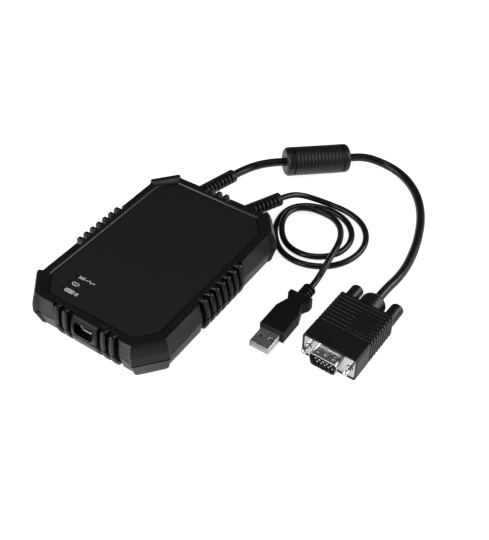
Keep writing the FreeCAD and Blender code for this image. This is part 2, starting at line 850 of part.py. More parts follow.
def make_lower_shell():
    body = new_body("lower_shell")
    loft("Additive", [
        casing_level(body, "lower_base", s.base_reach, s.base_height),
        casing_level(body, "lower_seam", s.seam_reach, parting),
    ])
    rim = casing_level(body, "lower_rim", s.seam_reach - s.rim_step, parting)
    extrude("Pad", rim, s.seam_gap)
    for number, corner in enumerate(CORNERS):
        levels = []
        places = [(s.foot_round * share, s.foot_inset * (1 - share) ** 2) for share in FOOT_LEVELS]
        for height, inset in (*places, (parting, ZERO)):
            rise = (s.bumper_reach - s.foot_reach) * height / s.seam_height
            levels.append(corner_level(body, f"foot_{number}_{len(levels)}", corner, ZERO,
                                       s.foot_reach + rise - inset, height, inset))
        loft("Additive", levels)
    loft("Subtractive", [
        casing_level(body, "lower_cavity_floor", s.base_reach - s.wall_thickness, floor_top),
        casing_level(body, "lower_cavity_seam", s.seam_reach - s.wall_thickness, s.seam_height),
    ])
    pad_from = s.base_height + s.floor_thickness / 2
    bosses = circles(body, "lower_bosses", "XY_Plane", boss_places, s.boss_radius, pad_from)
    extrude("Pad", bosses, parting - pad_from)
    posts = circles(body, "board_posts", "XY_Plane", post_places, s.post_radius, pad_from)
    extrude("Pad", posts, board_bottom - pad_from)
    holes = circles(
        body, "screw_holes", "XY_Plane", boss_places, s.screw_radius + s.screw_clearance)
    extrude("Pocket", holes, s.seam_height, reverse=True)
    recesses = circles(
        body, "screw_recesses", "XY_Plane", boss_places, s.screw_head_radius + s.screw_clearance)
    extrude("Pocket", recesses, s.base_height + s.screw_recess, reverse=True)
    pilots = circles(body, "post_holes", "XY_Plane", post_places,
                     s.board_screw_radius + s.light_clearance, board_bottom)
    extrude("Pocket", pilots, s.board_screw_length)
    cut_relief_hole(body, "lower_vga_hole", s.vga_exit, vga_exit, vga_tip)
    cut_relief_hole(body, "lower_usb_hole", s.usb_exit, usb_exit, usb_tip)
    cut_bays(body, LOWER_BAY)
    bowed_rib(body, "port_block", "YZ_Plane", -1, half_length, s.port_x, s.port_block_width, lower_rib)
    add_ribs(body, lower_rib)
    return body


def make_screws(label, places, seat, radius, length, head_radius, head_height, head_down):
    """Pan-head screws that stand at the places, with the heads' flat sides at the seat."""
    screws = []
    for number, (x, y) in enumerate(places):
        shank_from = seat if head_down else seat - length
        head_from = seat - head_height if head_down else seat
        shank = post(f"{label}_{number}_shank", x, y, shank_from, radius, length)
        head = post(f"{label}_{number}_head", x, y, head_from, head_radius, head_height)
        screws.append(fuse(f"{label}_{number}", [shank, head]))
    return group(label, screws)


# Circuit board and what stands on it

def make_board():
    length = s.board_front + s.board_rear
    plate = box("board_plate", (-s.board_width / 2, -s.board_front, board_bottom),
                (s.board_width, length, s.board_thickness))
    holes = [
        post(f"board_hole_{number}", x, y, board_bottom - s.board_thickness,
             s.board_screw_radius + s.screw_clearance, 3 * s.board_thickness)
        for number, (x, y) in enumerate(post_places)
    ]
    return cut("main_board", plate, holes)


def make_chip(label, x, y, side_x, side_y, height):
    return centred_box(label, as_size(x), as_size(y), board_top,
                       (as_size(side_x), as_size(side_y), as_size(height)))


# Places and sizes on the board: x, y, width, length, height
CHIPS = {
    "main_processor": (4.0, -22.0, 17.0, 17.0, 1.4),
    "memory_chip": (-12.0, -20.0, 8.0, 12.0, 1.1),
    "video_converter": (-8.0, 10.0, 14.0, 14.0, 1.4),
    "usb_hub_chip": (12.0, 8.0, 7.0, 7.0, 1.0),
    "crystal": (14.0, -4.0, 5.0, 3.2, 1.1),
}
HEADERS = {
    "vga_header": (-12.5, 29.5, 14.0, 6.0, 4.6),
    "usb_header": (12.0, 30.0, 9.0, 5.0, 4.6),
}
CAPACITOR_PLACES = [(-20.0, -8.0), (20.0, 18.0), (20.0, -14.0), (-4.0, 24.0)]
CAPACITOR_RADIUS = 2.5
CAPACITOR_HEIGHT = 4.6


def make_capacitors():
    return group("capacitors", [
        post(f"capacitor_{number}", as_size(x), as_size(y), board_top,
             as_size(CAPACITOR_RADIUS), as_size(CAPACITOR_HEIGHT))
        for number, (x, y) in enumerate(CAPACITOR_PLACES)
    ])


socket_front = half_length + s.rib_reach - s.port_depth


def socket_outline(inset):
    """The mini USB socket's section: wide above, stepped in below."""
    wide, narrow = s.mini_width / 2 - inset, s.mini_width / 2 - s.mini_step - inset
    low, high = board_top + inset, board_top + s.mini_tall - inset
    points = [(-narrow, low), (narrow, low), (wide, port_height), (wide, high), (-wide, high),
              (-wide, port_height)]
    return [(s.port_x + x, z) for x, z in points]


def make_mini_shell():
    body = new_body("usb_mini_shell")
    profile = new_sketch(body, "mini_profile", "XZ_Plane", -socket_front)
    add_loop(profile, socket_outline(ZERO))
    add_loop(profile, socket_outline(s.mini_sheet))
    extrude("Pad", profile, s.mini_length, reverse=True)
    return body


def make_mini_insert():
    """The plastic back of the socket with the tongue that carries the contacts."""
    body = new_body("usb_mini_insert")
    back = s.mini_length / 3
    block = outline(body, "mini_back", "XZ_Plane", socket_outline(s.mini_sheet),
                    s.mini_length - socket_front)
    extrude("Pad", block, back)
    tongue = outline(body, "mini_tongue_section", "XZ_Plane", rectangle(
        s.port_x, port_height, s.mini_width - 3 * s.mini_step, s.mini_tongue), s.mini_length - socket_front)
    extrude("Pad", tongue, s.mini_length - s.mini_step)
    return body


def make_mini_contacts():
    first = s.port_x - (s.mini_contacts - 1) * s.mini_contact_pitch / 2
    width = s.mini_contact_pitch / 2
    length = s.mini_length / 3
    return group("usb_mini_contacts", [
        box(f"mini_contact_{number}",
            (first + number * s.mini_contact_pitch - width / 2, 2 * s.mini_step - socket_front,
             port_height - s.mini_tongue / 2 - s.contact_thickness),
            (width, length, s.contact_thickness))
        for number in range(count_of(s.mini_contacts))
    ])


def make_lights():
    leds = group("status_leds", [
        centred_box(f"led_{number}", x, y, board_top, (s.led_side, s.led_side, s.led_height))
        for number, (x, y) in enumerate(light_places)
    ])
    pipe_from = board_top + s.led_height
    pipes = group("light_pipes", [
        post(f"light_pipe_{number}", x, y, pipe_from, s.light_radius,
             s.panel_height - s.light_sink - pipe_from)
        for number, (x, y) in enumerate(light_places)
    ])
    return leds, pipes


# Strain reliefs, cables and ferrite

def make_relief(label, exit_point, tip, cord):
    """A ringed sleeve through the rear wall, turned about its own axis, with a collar inside."""
    length = as_size((tip - exit_point).Length)
    inner, outer = s.relief_radius - s.relief_groove, s.relief_radius
    collar = outer + s.relief_collar
    seat = relief_seat(exit_point, tip)
    inside = seat + s.relief_collar_length
    points = [(ZERO, -inside), (collar, -inside), (collar, -seat), (outer, -seat)]
    first = length - s.relief_tip - s.relief_grooves * s.relief_pitch
    for number in range(count_of(s.relief_grooves)):
        start = first + number * s.relief_pitch
        end = start + s.relief_groove_width
        points += [(outer, start), (inner, start), (inner, end), (outer, end)]
    tip_radius = cord / 2 + s.relief_groove / 2
    points += [(outer, length - s.relief_groove), (tip_radius, length), (ZERO, length)]
    body = new_body(label)
    revolve(outline(body, f"{label}_section", "XZ_Plane", points))
    body.Placement = axis_frame(exit_point, tip - exit_point)
    return body


def make_lead(label, exit_point, tip, header):
    """The cable's end inside the casing, from the strain relief to its header on the board."""
    direction = (tip - exit_point).normalize()
    start = exit_point - direction * (relief_seat(exit_point, tip) + s.relief_collar_length).value
    x, y, _, depth, height = header
    end = Vector(x, y + depth / 2, board_top.value + height / 2)
    run = (start - end).Length / 4
    points = [start, start - direction * run, end + Vector(0, run, 0), end]
    return cable(label, points, s.lead_radius)


vga_frame = Placement(
    Vector(s.vga_x.value, s.vga_y.value, 0), Rotation(Vector(0, 0, 1), s.vga_yaw.value))
usb_frame = Placement(Vector(s.usb_x.value, s.usb_y.value, 0), Rotation())
vga_axis = s.hood_height / 2
usb_axis = s.grip_height / 2


def cable_points(exit_point, relief_run, route, frame, rear, height, plug_run):
    """All the points of a cable: straight out of its strain relief, then along its route, then straight
    into its plug."""
    tip, *places = [Vector(*point) for point in route]
    leaving = tip + (tip - exit_point).normalize() * relief_run
    entering = [Vector(0, rear.value + plug_run, height.value), Vector(0, rear.value, height.value)]
    return [tip, leaving, *places, *(frame.multVec(place) for place in entering)]


# Straight runs behind the strain reliefs and the plugs
VGA_RELIEF_RUN = 11.0
USB_RELIEF_RUN = 7.5
VGA_PLUG_RUN = 11.0
USB_PLUG_RUN = 6.2
vga_points = cable_points(vga_exit, VGA_RELIEF_RUN, VGA_ROUTE, vga_frame,
                          s.hood_length + s.collar_length, vga_axis, VGA_PLUG_RUN)
usb_points = cable_points(usb_exit, USB_RELIEF_RUN, USB_ROUTE, usb_frame,
                          s.grip_length + s.tail_length, usb_axis, USB_PLUG_RUN)

ferrite_ends = vga_points[2:4]
ferrite_axis = (ferrite_ends[1] - ferrite_ends[0]).normalize()
# The ferrite lies with the slots of its jacket at both sides, above and below.
level_side = Vector(ferrite_axis.y, -ferrite_axis.x, 0)
ferrite_frame = Placement(
    (ferrite_ends[0] + ferrite_ends[1]) * 0.5, Rotation(level_side, Vector(), ferrite_axis, "ZXY"))
ferrite_bore = s.vga_cord / 2 + s.ferrite_bore_clearance


def make_ferrite_core():
    body = new_body("ferrite_core")
    reach = s.ferrite_length / 2 - s.ferrite_wall - s.ferrite_core_clearance
    radius = s.ferrite_radius - s.ferrite_wall - s.ferrite_core_clearance
    points = [(ferrite_bore, -reach), (radius, -reach), (radius, reach), (ferrite_bore, reach)]
    revolve(outline(body, "core_section", "XZ_Plane", points))
    body.Placement = ferrite_frame
    return body


def make_ferrite_cover():
    """A round-ended jacket with fine ribs round its middle and slots near both ends."""
    body = new_body("ferrite_cover")
    radius, reach = s.ferrite_radius, s.ferrite_length / 2
    hollow, hollow_reach = radius - s.ferrite_wall, reach - s.ferrite_wall
    points = [
        (ferrite_bore, -reach), (radius - s.ferrite_round, -reach), (radius, s.ferrite_round - reach),
    ]
    bows = {1: s.ferrite_round}
    low = radius - s.ferrite_rib_depth
    first = -(s.ferrite_ribs - 1) * s.ferrite_rib_pitch / 2
    for number in range(count_of(s.ferrite_ribs)):
        middle = first + number * s.ferrite_rib_pitch
        points += [
            (radius, middle - s.ferrite_rib_pitch / 4), (low, middle),
            (radius, middle + s.ferrite_rib_pitch / 4),
        ]
    bows[len(points)] = s.ferrite_round
    points += [
        (radius, reach - s.ferrite_round), (radius - s.ferrite_round, reach), (ferrite_bore, reach),
        (ferrite_bore, hollow_reach), (hollow, hollow_reach), (hollow, -hollow_reach),
        (ferrite_bore, -hollow_reach),
    ]
    revolve(outline(body, "cover_section", "XZ_Plane", points, bows=bows))
    slot_at = reach - s.ferrite_slot_inset
    for name, plane in (("across", "YZ_Plane"), ("upright", "XZ_Plane")):
        slots = new_sketch(body, f"slots_{name}", plane, ZERO)
        for end in (-1, 1):
            for side in (-1, 1):
                add_loop(slots, rectangle(
                    side * radius, end * slot_at, 2 * s.ferrite_slot_depth, s.ferrite_slot_width))
        extrude("Pocket", slots, s.ferrite_slot_chord, symmetric=True)
    body.Placement = ferrite_frame
    return body


# VGA plug, built with its front on its own XZ plane and its length along Y

def dee(inset):
    """The shell's section, wider above than below, with round corners."""
    half, tall = s.dee_width / 2 - inset, s.dee_tall - 2 * inset
    radius = s.dee_round - inset
    low, high = vga_axis - tall / 2, vga_axis + tall / 2
    narrow = half - tall * trig("tan", s.dee_slope)
    across, down = trig("sin", s.dee_slope), trig("cos", s.dee_slope)
    top = radius / trig("tan", (90 - s.dee_slope) / 2)
    bottom = radius / trig("tan", (90 + s.dee_slope) / 2)
    points = [
        (bottom - narrow, low), (narrow - bottom, low),
        (narrow + bottom * across, low + bottom * down), (half - top * across, high - top * down),
        (half - top, high), (top - half, high),
        (top * across - half, high - top * down), (-narrow - bottom * across, low + bottom * down),
    ]
    return points, {1: radius, 3: radius, 5: radius, 7: radius}


jack_places = [(-s.jack_spacing / 2, vga_axis), (s.jack_spacing / 2, vga_axis)]
flange_front = s.flange_sink
flange_back = s.flange_sink + s.flange_thickness


def make_hood():
    body = new_body("vga_hood")
    points, bows = rounded_rectangle(ZERO, vga_axis, s.hood_width, s.hood_height, s.hood_round)
    extrude("Pad", outline(body, "hood_section", "XZ_Plane", points, ZERO, bows), s.hood_length, reverse=True)
    ring = new_sketch(body, "hood_groove", "XZ_Plane", s.groove_first)
    add_loop(ring, rectangle(ZERO, vga_axis, s.hood_width + s.hood_round, s.hood_height + s.hood_round))
    points, bows = rounded_rectangle(ZERO, vga_axis, s.hood_width - 2 * s.groove_depth,
                                     s.hood_height - 2 * s.groove_depth, s.hood_round)
    add_loop(ring, points, bows)
    pattern(extrude("Pocket", ring, s.groove_width), "Y_Axis", s.groove_pitch, s.grooves)
    pad_low = s.hood_height - 2 * s.groove_depth
    pad = outline(body, "hood_pad", "XY_Plane", rectangle(
        s.pad_x, s.pad_first + s.pad_length / 2, s.pad_width, s.pad_length), pad_low)
    extrude("Pad", pad, s.hood_height - pad_low)
    collar_from = s.hood_length - s.collar_round
    collar_end = s.hood_length + s.collar_length
    collar = outline(body, "hood_collar", "XY_Plane", [
        (ZERO, collar_from), (s.collar_radius, collar_from), (s.collar_radius, collar_end - s.collar_round),
        (s.collar_radius - s.collar_round, collar_end), (ZERO, collar_end),
    ], vga_axis, {2: s.collar_round})
    revolve(collar)
    recess = outline(body, "flange_recess", "XZ_Plane", rectangle(
        ZERO, vga_axis, s.flange_width + 2 * s.flange_clearance, s.flange_tall + 2 * s.flange_clearance))
    extrude("Pocket", recess, flange_back)
    points, bows = dee(s.dee_sheet)
    insert_hole = outline(body, "insert_hole", "XZ_Plane", points, flange_back, bows)
    extrude("Pocket", insert_hole, s.insert_depth)
    bores = circles(body, "jack_bores", "XZ_Plane", jack_places, s.jack_radius + s.jack_clearance)
    extrude("Pocket", bores, s.hood_length + s.collar_length)
    body.Placement = vga_frame
    return body


def make_vga_shell():
    """The plated front: a flange with the D-shaped shell drawn out of it."""
    body = new_body("vga_shell")
    points, bows = rounded_rectangle(ZERO, vga_axis, s.flange_width, s.flange_tall, s.flange_round)
    flange = outline(body, "flange", "XZ_Plane", points, flange_back, bows)
    extrude("Pad", flange, s.flange_thickness)
    points, bows = dee(ZERO)
    drawn = outline(body, "dee_outside", "XZ_Plane", points, flange_back, bows)
    extrude("Pad", drawn, flange_back + s.dee_length)
    top = vga_axis + s.dee_tall / 2
    dimples = circles(body, "dimples", "XY_Plane", [
        (number * s.dimple_pitch, -s.dee_length / 2) for number in (-1, 0, 1)
    ], s.dimple_radius, top - s.dee_sheet / 2)
    extrude("Pad", dimples, s.dee_sheet / 2 + s.dimple_rise)
    points, bows = dee(s.dee_sheet)
    inside = outline(body, "dee_inside", "XZ_Plane", points, -s.dee_length, bows)
    extrude("Pocket", inside, s.dee_length + 2 * flange_back)
    holes = circles(
        body, "flange_holes", "XZ_Plane", jack_places, s.jack_radius + s.flange_hole_clearance)
    extrude("Pocket", holes, 2 * flange_back)
    body.Placement = vga_frame
    return body


def pin_places():
    """Three rows of pins, the middle one half a pitch aside."""
    places = []
    for row in (-1, 0, 1):
        shift = s.pin_pitch / 4 * (-1 if row == 0 else 1)
        for number in range(count_of(s.pins_in_row)):
            x = (number - (s.pins_in_row - 1) / 2) * s.pin_pitch + shift
            places.append((x, vga_axis + row * s.pin_row_pitch))
    return places


def make_vga_insert():
    """The dark plastic that holds the pins, from the hood to just behind the flange's front."""
    body = new_body("vga_insert")
    points, bows = dee(s.dee_sheet + s.insert_clearance)
    back = flange_back + s.insert_depth
    block = outline(body, "insert_section", "XZ_Plane", points, back, bows)
    extrude("Pad", block, back - s.insert_face)
    holes = circles(body, "pin_holes", "XZ_Plane", pin_places(), s.pin_radius + s.pin_clearance,
                    s.insert_face)
    extrude("Pocket", holes, s.insert_depth / 2)
    body.Placement = vga_frame
    return body


def make_vga_pins():
    pins = []
    for number, (x, z) in enumerate(pin_places()):
        pin = doc.addObject("Part::Cylinder", f"pin_{number}")
        bind(pin, "Radius", s.pin_radius)
        bind(pin, "Height", s.pin_length + s.insert_depth / 2)
        front = vector_of((x, s.insert_face - s.pin_length, z))
        pin.Placement = axis_frame(front, Vector(0, 1, 0))
        pins.append(pin)
    result = group("vga_pins", pins)
    result.Placement = vga_frame
    return result


def make_thumbscrew(name, place):
    """A knob moulded on a jack screw that turns in the hood."""
    x, z = place
    knob_from = s.hood_length + s.knob_gap
    along = axis_frame(vector_of((x, knob_from, z)), Vector(0, 1, 0))
    knob = new_body(f"{name}_screw_knob")
    end = s.knob_length
    points = [
        (s.jack_radius, ZERO), (s.knob_radius, ZERO), (s.knob_radius, end - s.knob_round),
        (s.knob_radius - s.knob_round, end), (ZERO, end), (ZERO, s.knob_hold), (s.jack_radius, s.knob_hold),
    ]
    revolve(outline(knob, f"{name}_knob_section", "XZ_Plane", points, bows={2: s.knob_round}))
    knob.Placement = vga_frame.multiply(along)
    shaft = new_body(f"{name}_screw_shaft")
    tip = -knob_from - s.jack_tip
    bevel = s.jack_radius / 3
    points = [
        (ZERO, tip), (s.jack_radius - bevel, tip), (s.jack_radius, tip + bevel),
        (s.jack_radius, s.knob_hold), (ZERO, s.knob_hold),
    ]
    revolve(outline(shaft, f"{name}_shaft_section", "XZ_Plane", points))
    shaft.Placement = vga_frame.multiply(along)
    return [knob, shaft]


# USB plug, built like the VGA plug with its length along Y

def make_usb_grip():
    body = new_body("usb_grip")
    right = [
        (s.grip_width / 2, ZERO), (s.grip_width / 2, s.grip_straight), (s.waist_width / 2, s.waist_at),
        (s.wing_width / 2, s.wing_at), (s.wing_width / 2, s.grip_length),
    ]
    left = [(-x, y) for x, y in reversed(right)]
    block = extrude("Pad", outline(body, "grip_plan", "XY_Plane", right + left), s.grip_height)
    doc.recompute()
    edges = [
        f"Edge{number}" for number, edge in enumerate(block.Shape.Edges, start=1)
        if edge.BoundBox.ZLength < s.grip_round.value / 2
    ]
    rounding = body.newObject("PartDesign::Fillet", "grip_rounding")
    rounding.Base = (block, edges)
    bind(rounding, "Radius", s.grip_round)
    outer, inner = s.tail_radius, s.tail_radius - s.tail_groove
    end = s.grip_length + s.tail_length
    points = [(ZERO, s.grip_length - s.tail_groove), (outer, s.grip_length - s.tail_groove)]
    for number in range(count_of(s.tail_grooves)):
        start = s.grip_length + s.tail_groove + number * s.tail_pitch
        points += [
            (outer, start), (inner, start),
            (inner, start + s.tail_groove_width), (outer, start + s.tail_groove_width),
        ]
    tip_radius = s.usb_cord / 2 + s.tail_groove / 2
    points += [(outer, end - s.tail_groove), (tip_radius, end), (ZERO, end)]
    revolve(outline(body, "grip_tail", "XY_Plane", points, usb_axis))
    gap = 2 * s.usb_shell_clearance
    points, bows = rounded_rectangle(
        ZERO, usb_axis, s.usb_shell_width + gap, s.usb_shell_tall + gap, s.usb_shell_round)
    extrude("Pocket", outline(body, "shell_pocket", "XZ_Plane", points, ZERO, bows), s.usb_shell_hold)
    body.Placement = usb_frame
    return body


def make_usb_shell():
    """The rolled metal shell, with two latch windows and a small hole above and below."""
    body = new_body("usb_shell")
    inner_round = s.usb_shell_round - s.usb_shell_sheet
    profile = new_sketch(body, "usb_shell_section", "XZ_Plane", s.usb_shell_hold)
    add_loop(profile, *rounded_rectangle(
        ZERO, usb_axis, s.usb_shell_width, s.usb_shell_tall, s.usb_shell_round))
    add_loop(profile, *rounded_rectangle(
        ZERO, usb_axis, s.usb_shell_width - 2 * s.usb_shell_sheet,
        s.usb_shell_tall - 2 * s.usb_shell_sheet, inner_round))
    extrude("Pad", profile, s.usb_shell_hold + s.usb_shell_length)
    windows = circles(body, "windows", "XY_Plane", [(ZERO, s.shell_hole_from_tip - s.usb_shell_length)],
                      s.shell_hole_radius, s.grip_height)
    for side in (-1, 1):
        add_loop(windows, rectangle(
            side * s.window_x, s.window_from_tip - s.usb_shell_length, s.window_side, s.window_side))
    extrude("Pocket", windows, s.grip_height)
    body.Placement = usb_frame
    return body


tongue_low = usb_axis - s.usb_shell_tall / 2 + s.usb_shell_sheet


def make_usb_tongue():
    """The plastic tongue on the shell's lower side, with the block behind it that fills the shell."""
    width = s.usb_shell_width - 2 * s.usb_shell_round
    height = s.usb_shell_tall - 2 * s.usb_shell_sheet
    tongue = box("tongue_strip", (-width / 2, s.tongue_sink - s.usb_shell_length, tongue_low),
                 (width, s.usb_shell_length + s.usb_shell_hold - s.tongue_sink, s.tongue_thickness))
    block = box("tongue_block", (-width / 2, ZERO, tongue_low), (width, s.usb_shell_hold, height))
    result = fuse("usb_tongue", [tongue, block])
    result.Placement = usb_frame
    return result


def make_usb_contacts():
    first = -(s.usb_contacts - 1) * s.usb_contact_pitch / 2
    start = 4 * s.tongue_sink - s.usb_shell_length
    result = group("usb_contacts", [
        box(f"usb_contact_{number}",
            (first + number * s.usb_contact_pitch - s.usb_contact_width / 2, start,
             tongue_low + s.tongue_thickness),
            (s.usb_contact_width, -start, s.contact_thickness))
        for number in range(count_of(s.usb_contacts))
    ])
    result.Placement = usb_frame
    return result


# Assembly

nodes = [make_upper_shell(), make_lower_shell()]
nodes.append(make_screws(
    "case_screws", boss_places, s.base_height + s.screw_recess, s.screw_radius, s.screw_length,
    s.screw_head_radius, s.screw_head_height, True))
nodes.append(make_board())
nodes.append(make_screws(
    "board_screws", post_places, board_top, s.board_screw_radius, s.board_screw_length,
    s.board_screw_head_radius, s.board_screw_head_height, False))
nodes += [make_chip(label, *numbers) for label, numbers in {**CHIPS, **HEADERS}.items()]
nodes.append(make_capacitors())
nodes += [make_mini_shell(), make_mini_insert(), make_mini_contacts(), *make_lights()]
nodes.append(make_relief("vga_strain_relief", vga_exit, vga_tip, s.vga_cord))
nodes.append(make_relief("usb_strain_relief", usb_exit, usb_tip, s.usb_cord))
nodes.append(make_lead("vga_lead", vga_exit, vga_tip, HEADERS["vga_header"]))
nodes.append(make_lead("usb_lead", usb_exit, usb_tip, HEADERS["usb_header"]))
nodes += [cable("vga_cable", vga_points, s.vga_cord / 2), cable("usb_cable", usb_points, s.usb_cord / 2)]
nodes += [make_ferrite_core(), make_ferrite_cover()]
nodes += [make_hood(), make_vga_shell(), make_vga_insert(), make_vga_pins()]
nodes += make_thumbscrew("left", jack_places[0]) + make_thumbscrew("right", jack_places[1])
nodes += [make_usb_grip(), make_usb_shell(), make_usb_tongue(), make_usb_contacts()]
doc.recompute()

faults = [item.Label for item in doc.Objects if {"Invalid", "Error"} & set(item.State)]
faults += [node.Label for node in nodes if node.Shape.isNull() or not node.Shape.isValid()]
if faults:
    raise ValueError(f"these objects failed: {faults}")
os.makedirs("parts", exist_ok=True)
for node in nodes:
    node.Shape.exportStep(f"parts/{node.Label}.step")
    bounds = node.Shape.BoundBox
    print(f"{node.Label}: {len(node.Shape.Solids)} solids, {node.Shape.Volume:.1f} mm3, "
          f"x {bounds.XMin:.1f} {bounds.XMax:.1f}, y {bounds.YMin:.1f} {bounds.YMax:.1f}, "
          f"z {bounds.ZMin:.2f} {bounds.ZMax:.2f}")
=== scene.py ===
# %% [markdown]
# # A crash cart adapter, dressed for its portrait
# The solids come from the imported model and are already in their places, in metres. This lesson sets the
# camera and the light, lays the two cables as smooth curves, gives every surface its finish and adds the
# small printed signs. Nothing here moves or resizes a solid.

# %% Load the solids
import math

import bmesh
import bpy
from mathutils import Matrix, Quaternion, Vector
from mathutils.bvhtree import BVHTree


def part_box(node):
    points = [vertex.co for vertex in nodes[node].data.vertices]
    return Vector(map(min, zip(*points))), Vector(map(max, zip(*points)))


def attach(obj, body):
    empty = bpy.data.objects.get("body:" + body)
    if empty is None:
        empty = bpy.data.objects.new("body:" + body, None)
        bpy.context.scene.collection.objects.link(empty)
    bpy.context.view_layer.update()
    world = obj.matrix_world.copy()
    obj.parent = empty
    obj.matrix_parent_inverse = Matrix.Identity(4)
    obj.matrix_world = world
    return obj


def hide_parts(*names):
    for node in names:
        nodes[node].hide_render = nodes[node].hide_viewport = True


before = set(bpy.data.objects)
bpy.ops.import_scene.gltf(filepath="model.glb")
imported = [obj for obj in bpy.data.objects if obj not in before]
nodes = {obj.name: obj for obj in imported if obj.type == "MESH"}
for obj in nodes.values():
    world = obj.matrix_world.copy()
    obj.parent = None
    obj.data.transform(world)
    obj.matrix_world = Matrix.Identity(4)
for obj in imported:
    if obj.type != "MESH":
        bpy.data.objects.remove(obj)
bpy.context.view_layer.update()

MM = 0.001
scene = bpy.context.scene
scene.view_settings.view_transform = "Standard"

# %% [markdown]
# ## Camera
# The photograph looks down at the adapter's front right corner. The standard sizes of the two plugs fix
# the camera: where it stands, where it looks and how long its lens is. The sensor is measured along the
# picture's upright side, which is the longer one.

# %% Camera
VIEW_CENTRE = Vector((33.78, 36.45, 0.0)) * MM
VIEW_AZIMUTH = math.radians(34.39)
VIEW_ELEVATION = math.radians(43.91)
VIEW_ROLL = math.radians(-0.31)
VIEW_DISTANCE = 462.07 * MM
toward_camera = Vector((
    math.cos(VIEW_ELEVATION) * math.sin(VIEW_AZIMUTH),
    -math.cos(VIEW_ELEVATION) * math.cos(VIEW_AZIMUTH),
    math.sin(VIEW_ELEVATION),
))
camera_data = bpy.data.cameras.new("portrait_camera")
camera_data.sensor_fit = "VERTICAL"
camera_data.sensor_height = 36.0
camera_data.lens = 52.0
camera_data.clip_start = 0.01
camera = bpy.data.objects.new("portrait_camera", camera_data)
scene.collection.objects.link(camera)
camera.location = VIEW_CENTRE + toward_camera * VIEW_DISTANCE
level = (-toward_camera).to_track_quat("-Z", "Y")
camera.rotation_mode = "QUATERNION"
camera.rotation_quaternion = level @ Quaternion((0.0, 0.0, 1.0), VIEW_ROLL)
scene.camera = camera
print("camera at", [round(x, 4) for x in camera.location])

# %% [markdown]
# ## Wiring
# The light and every finish below are small trees of shader nodes. They could be drawn in the node editor,
# but most of them repeat, so a few helpers do the wiring. Each helper takes the material or the world that
# owns the nodes and hands back the socket to go on from. One more helper turns a bmesh into an object.

# %% Wiring helpers
def link(owner, source, target):
    """Join an output socket to an input socket."""
    owner.node_tree.links.new(source, target)


def add_node(owner, kind, **settings):
    """A new node with its own settings."""
    node = owner.node_tree.nodes.new(kind)
    for name, value in settings.items():
        setattr(node, name, value)
    return node


def combine(owner, operation, first, second):
    """A sum, a product or the larger of two values."""
    node = add_node(owner, "ShaderNodeMath", operation=operation)
    link(owner, first, node.inputs[0])
    link(owner, second, node.inputs[1])
    return node.outputs[0]


def fade(owner, value, near, far, start, end):
    """A value that turns smoothly from near to far."""
    node = add_node(owner, "ShaderNodeMapRange", interpolation_type="SMOOTHSTEP")
    node.inputs["From Min"].default_value = start
    node.inputs["From Max"].default_value = end
    node.inputs["To Min"].default_value = near
    node.inputs["To Max"].default_value = far
    link(owner, value, node.inputs["Value"])
    return node.outputs[0]


def mesh_object(name, bm, *materials):
    """A new object in the scene, made from a bmesh, which is freed."""
    mesh = bpy.data.meshes.new(name)
    bm.to_mesh(mesh)
    bm.free()
    for material in materials:
        mesh.materials.append(material)
    piece = bpy.data.objects.new(name, mesh)
    scene.collection.objects.link(piece)
    return piece


print("wiring helpers ready")

# %% [markdown]
# ## Floor
# The picture's ground is plain white with hardly a shadow. A white floor under lamps would need so much
# light that black plastic turns grey. So the floor adds its white only where the camera, a reflection or a
# clear window sees it, and the lamps stay at a plain level. The black walls then mirror a white floor, as
# they do in the photograph. What they mirror is whitest close by on the left and weaker on the right and
# farther off, as on paper that is lit from the left. The floor still takes the shadows.

# %% Floor
FLOOR_SIDE = 12.0
PAPER = (0.82, 0.82, 0.82)
NEAR_GLOW = 0.84
FAR_GLOW = 0.97
LIT_REACH = 0.25
UNLIT_FROM = 0.9
MIRRORED_LEFT = 0.7
MIRRORED_RIGHT = 0.3
LEFT_EDGE = 0.02
RIGHT_EDGE = 0.06
MIRRORED_NEAR = 1.0
MIRRORED_FAR = 0.05
MIRRORED_REACH = 0.14
MIRRORED_END = 0.21


def floor_white(material):
    """How much white the floor adds, by the kind of ray that meets it and by its place in metres."""
    place = add_node(material, "ShaderNodeTexCoord").outputs["Object"]
    away = add_node(material, "ShaderNodeVectorMath", operation="DISTANCE")
    away.inputs[1].default_value = VIEW_CENTRE
    link(material, place, away.inputs[0])
    distance = away.outputs["Value"]
    across = add_node(material, "ShaderNodeSeparateXYZ")
    link(material, place, across.inputs[0])
    seen = fade(material, distance, NEAR_GLOW, FAR_GLOW, LIT_REACH, UNLIT_FROM)
    lit_side = fade(material, across.outputs["X"], MIRRORED_LEFT, MIRRORED_RIGHT, LEFT_EDGE, RIGHT_EDGE)
    close_by = fade(material, distance, MIRRORED_NEAR, MIRRORED_FAR, MIRRORED_REACH, MIRRORED_END)
    mirrored = combine(material, "MULTIPLY", lit_side, close_by)
    path = add_node(material, "ShaderNodeLightPath")
    to_camera = combine(material, "MULTIPLY", path.outputs["Is Camera Ray"], seen)
    to_gloss = combine(material, "MULTIPLY", path.outputs["Is Glossy Ray"], mirrored)
    through_glass = combine(material, "MULTIPLY", path.outputs["Is Transmission Ray"], seen)
    return combine(material, "MAXIMUM", combine(material, "MAXIMUM", to_camera, to_gloss), through_glass)


def white_paper():
    """A pale matt sheet with its added white."""
    material = bpy.data.materials.new("white_paper")
    material.use_nodes = True
    material.node_tree.nodes.clear()
    paper = add_node(material, "ShaderNodeBsdfDiffuse")
    paper.inputs["Color"].default_value = (*PAPER, 1)
    glow = add_node(material, "ShaderNodeEmission")
    link(material, floor_white(material), glow.inputs["Strength"])
    both = add_node(material, "ShaderNodeAddShader")
    link(material, paper.outputs[0], both.inputs[0])
    link(material, glow.outputs[0], both.inputs[1])
    output = add_node(material, "ShaderNodeOutputMaterial")
    link(material, both.outputs[0], output.inputs["Surface"])
    return material


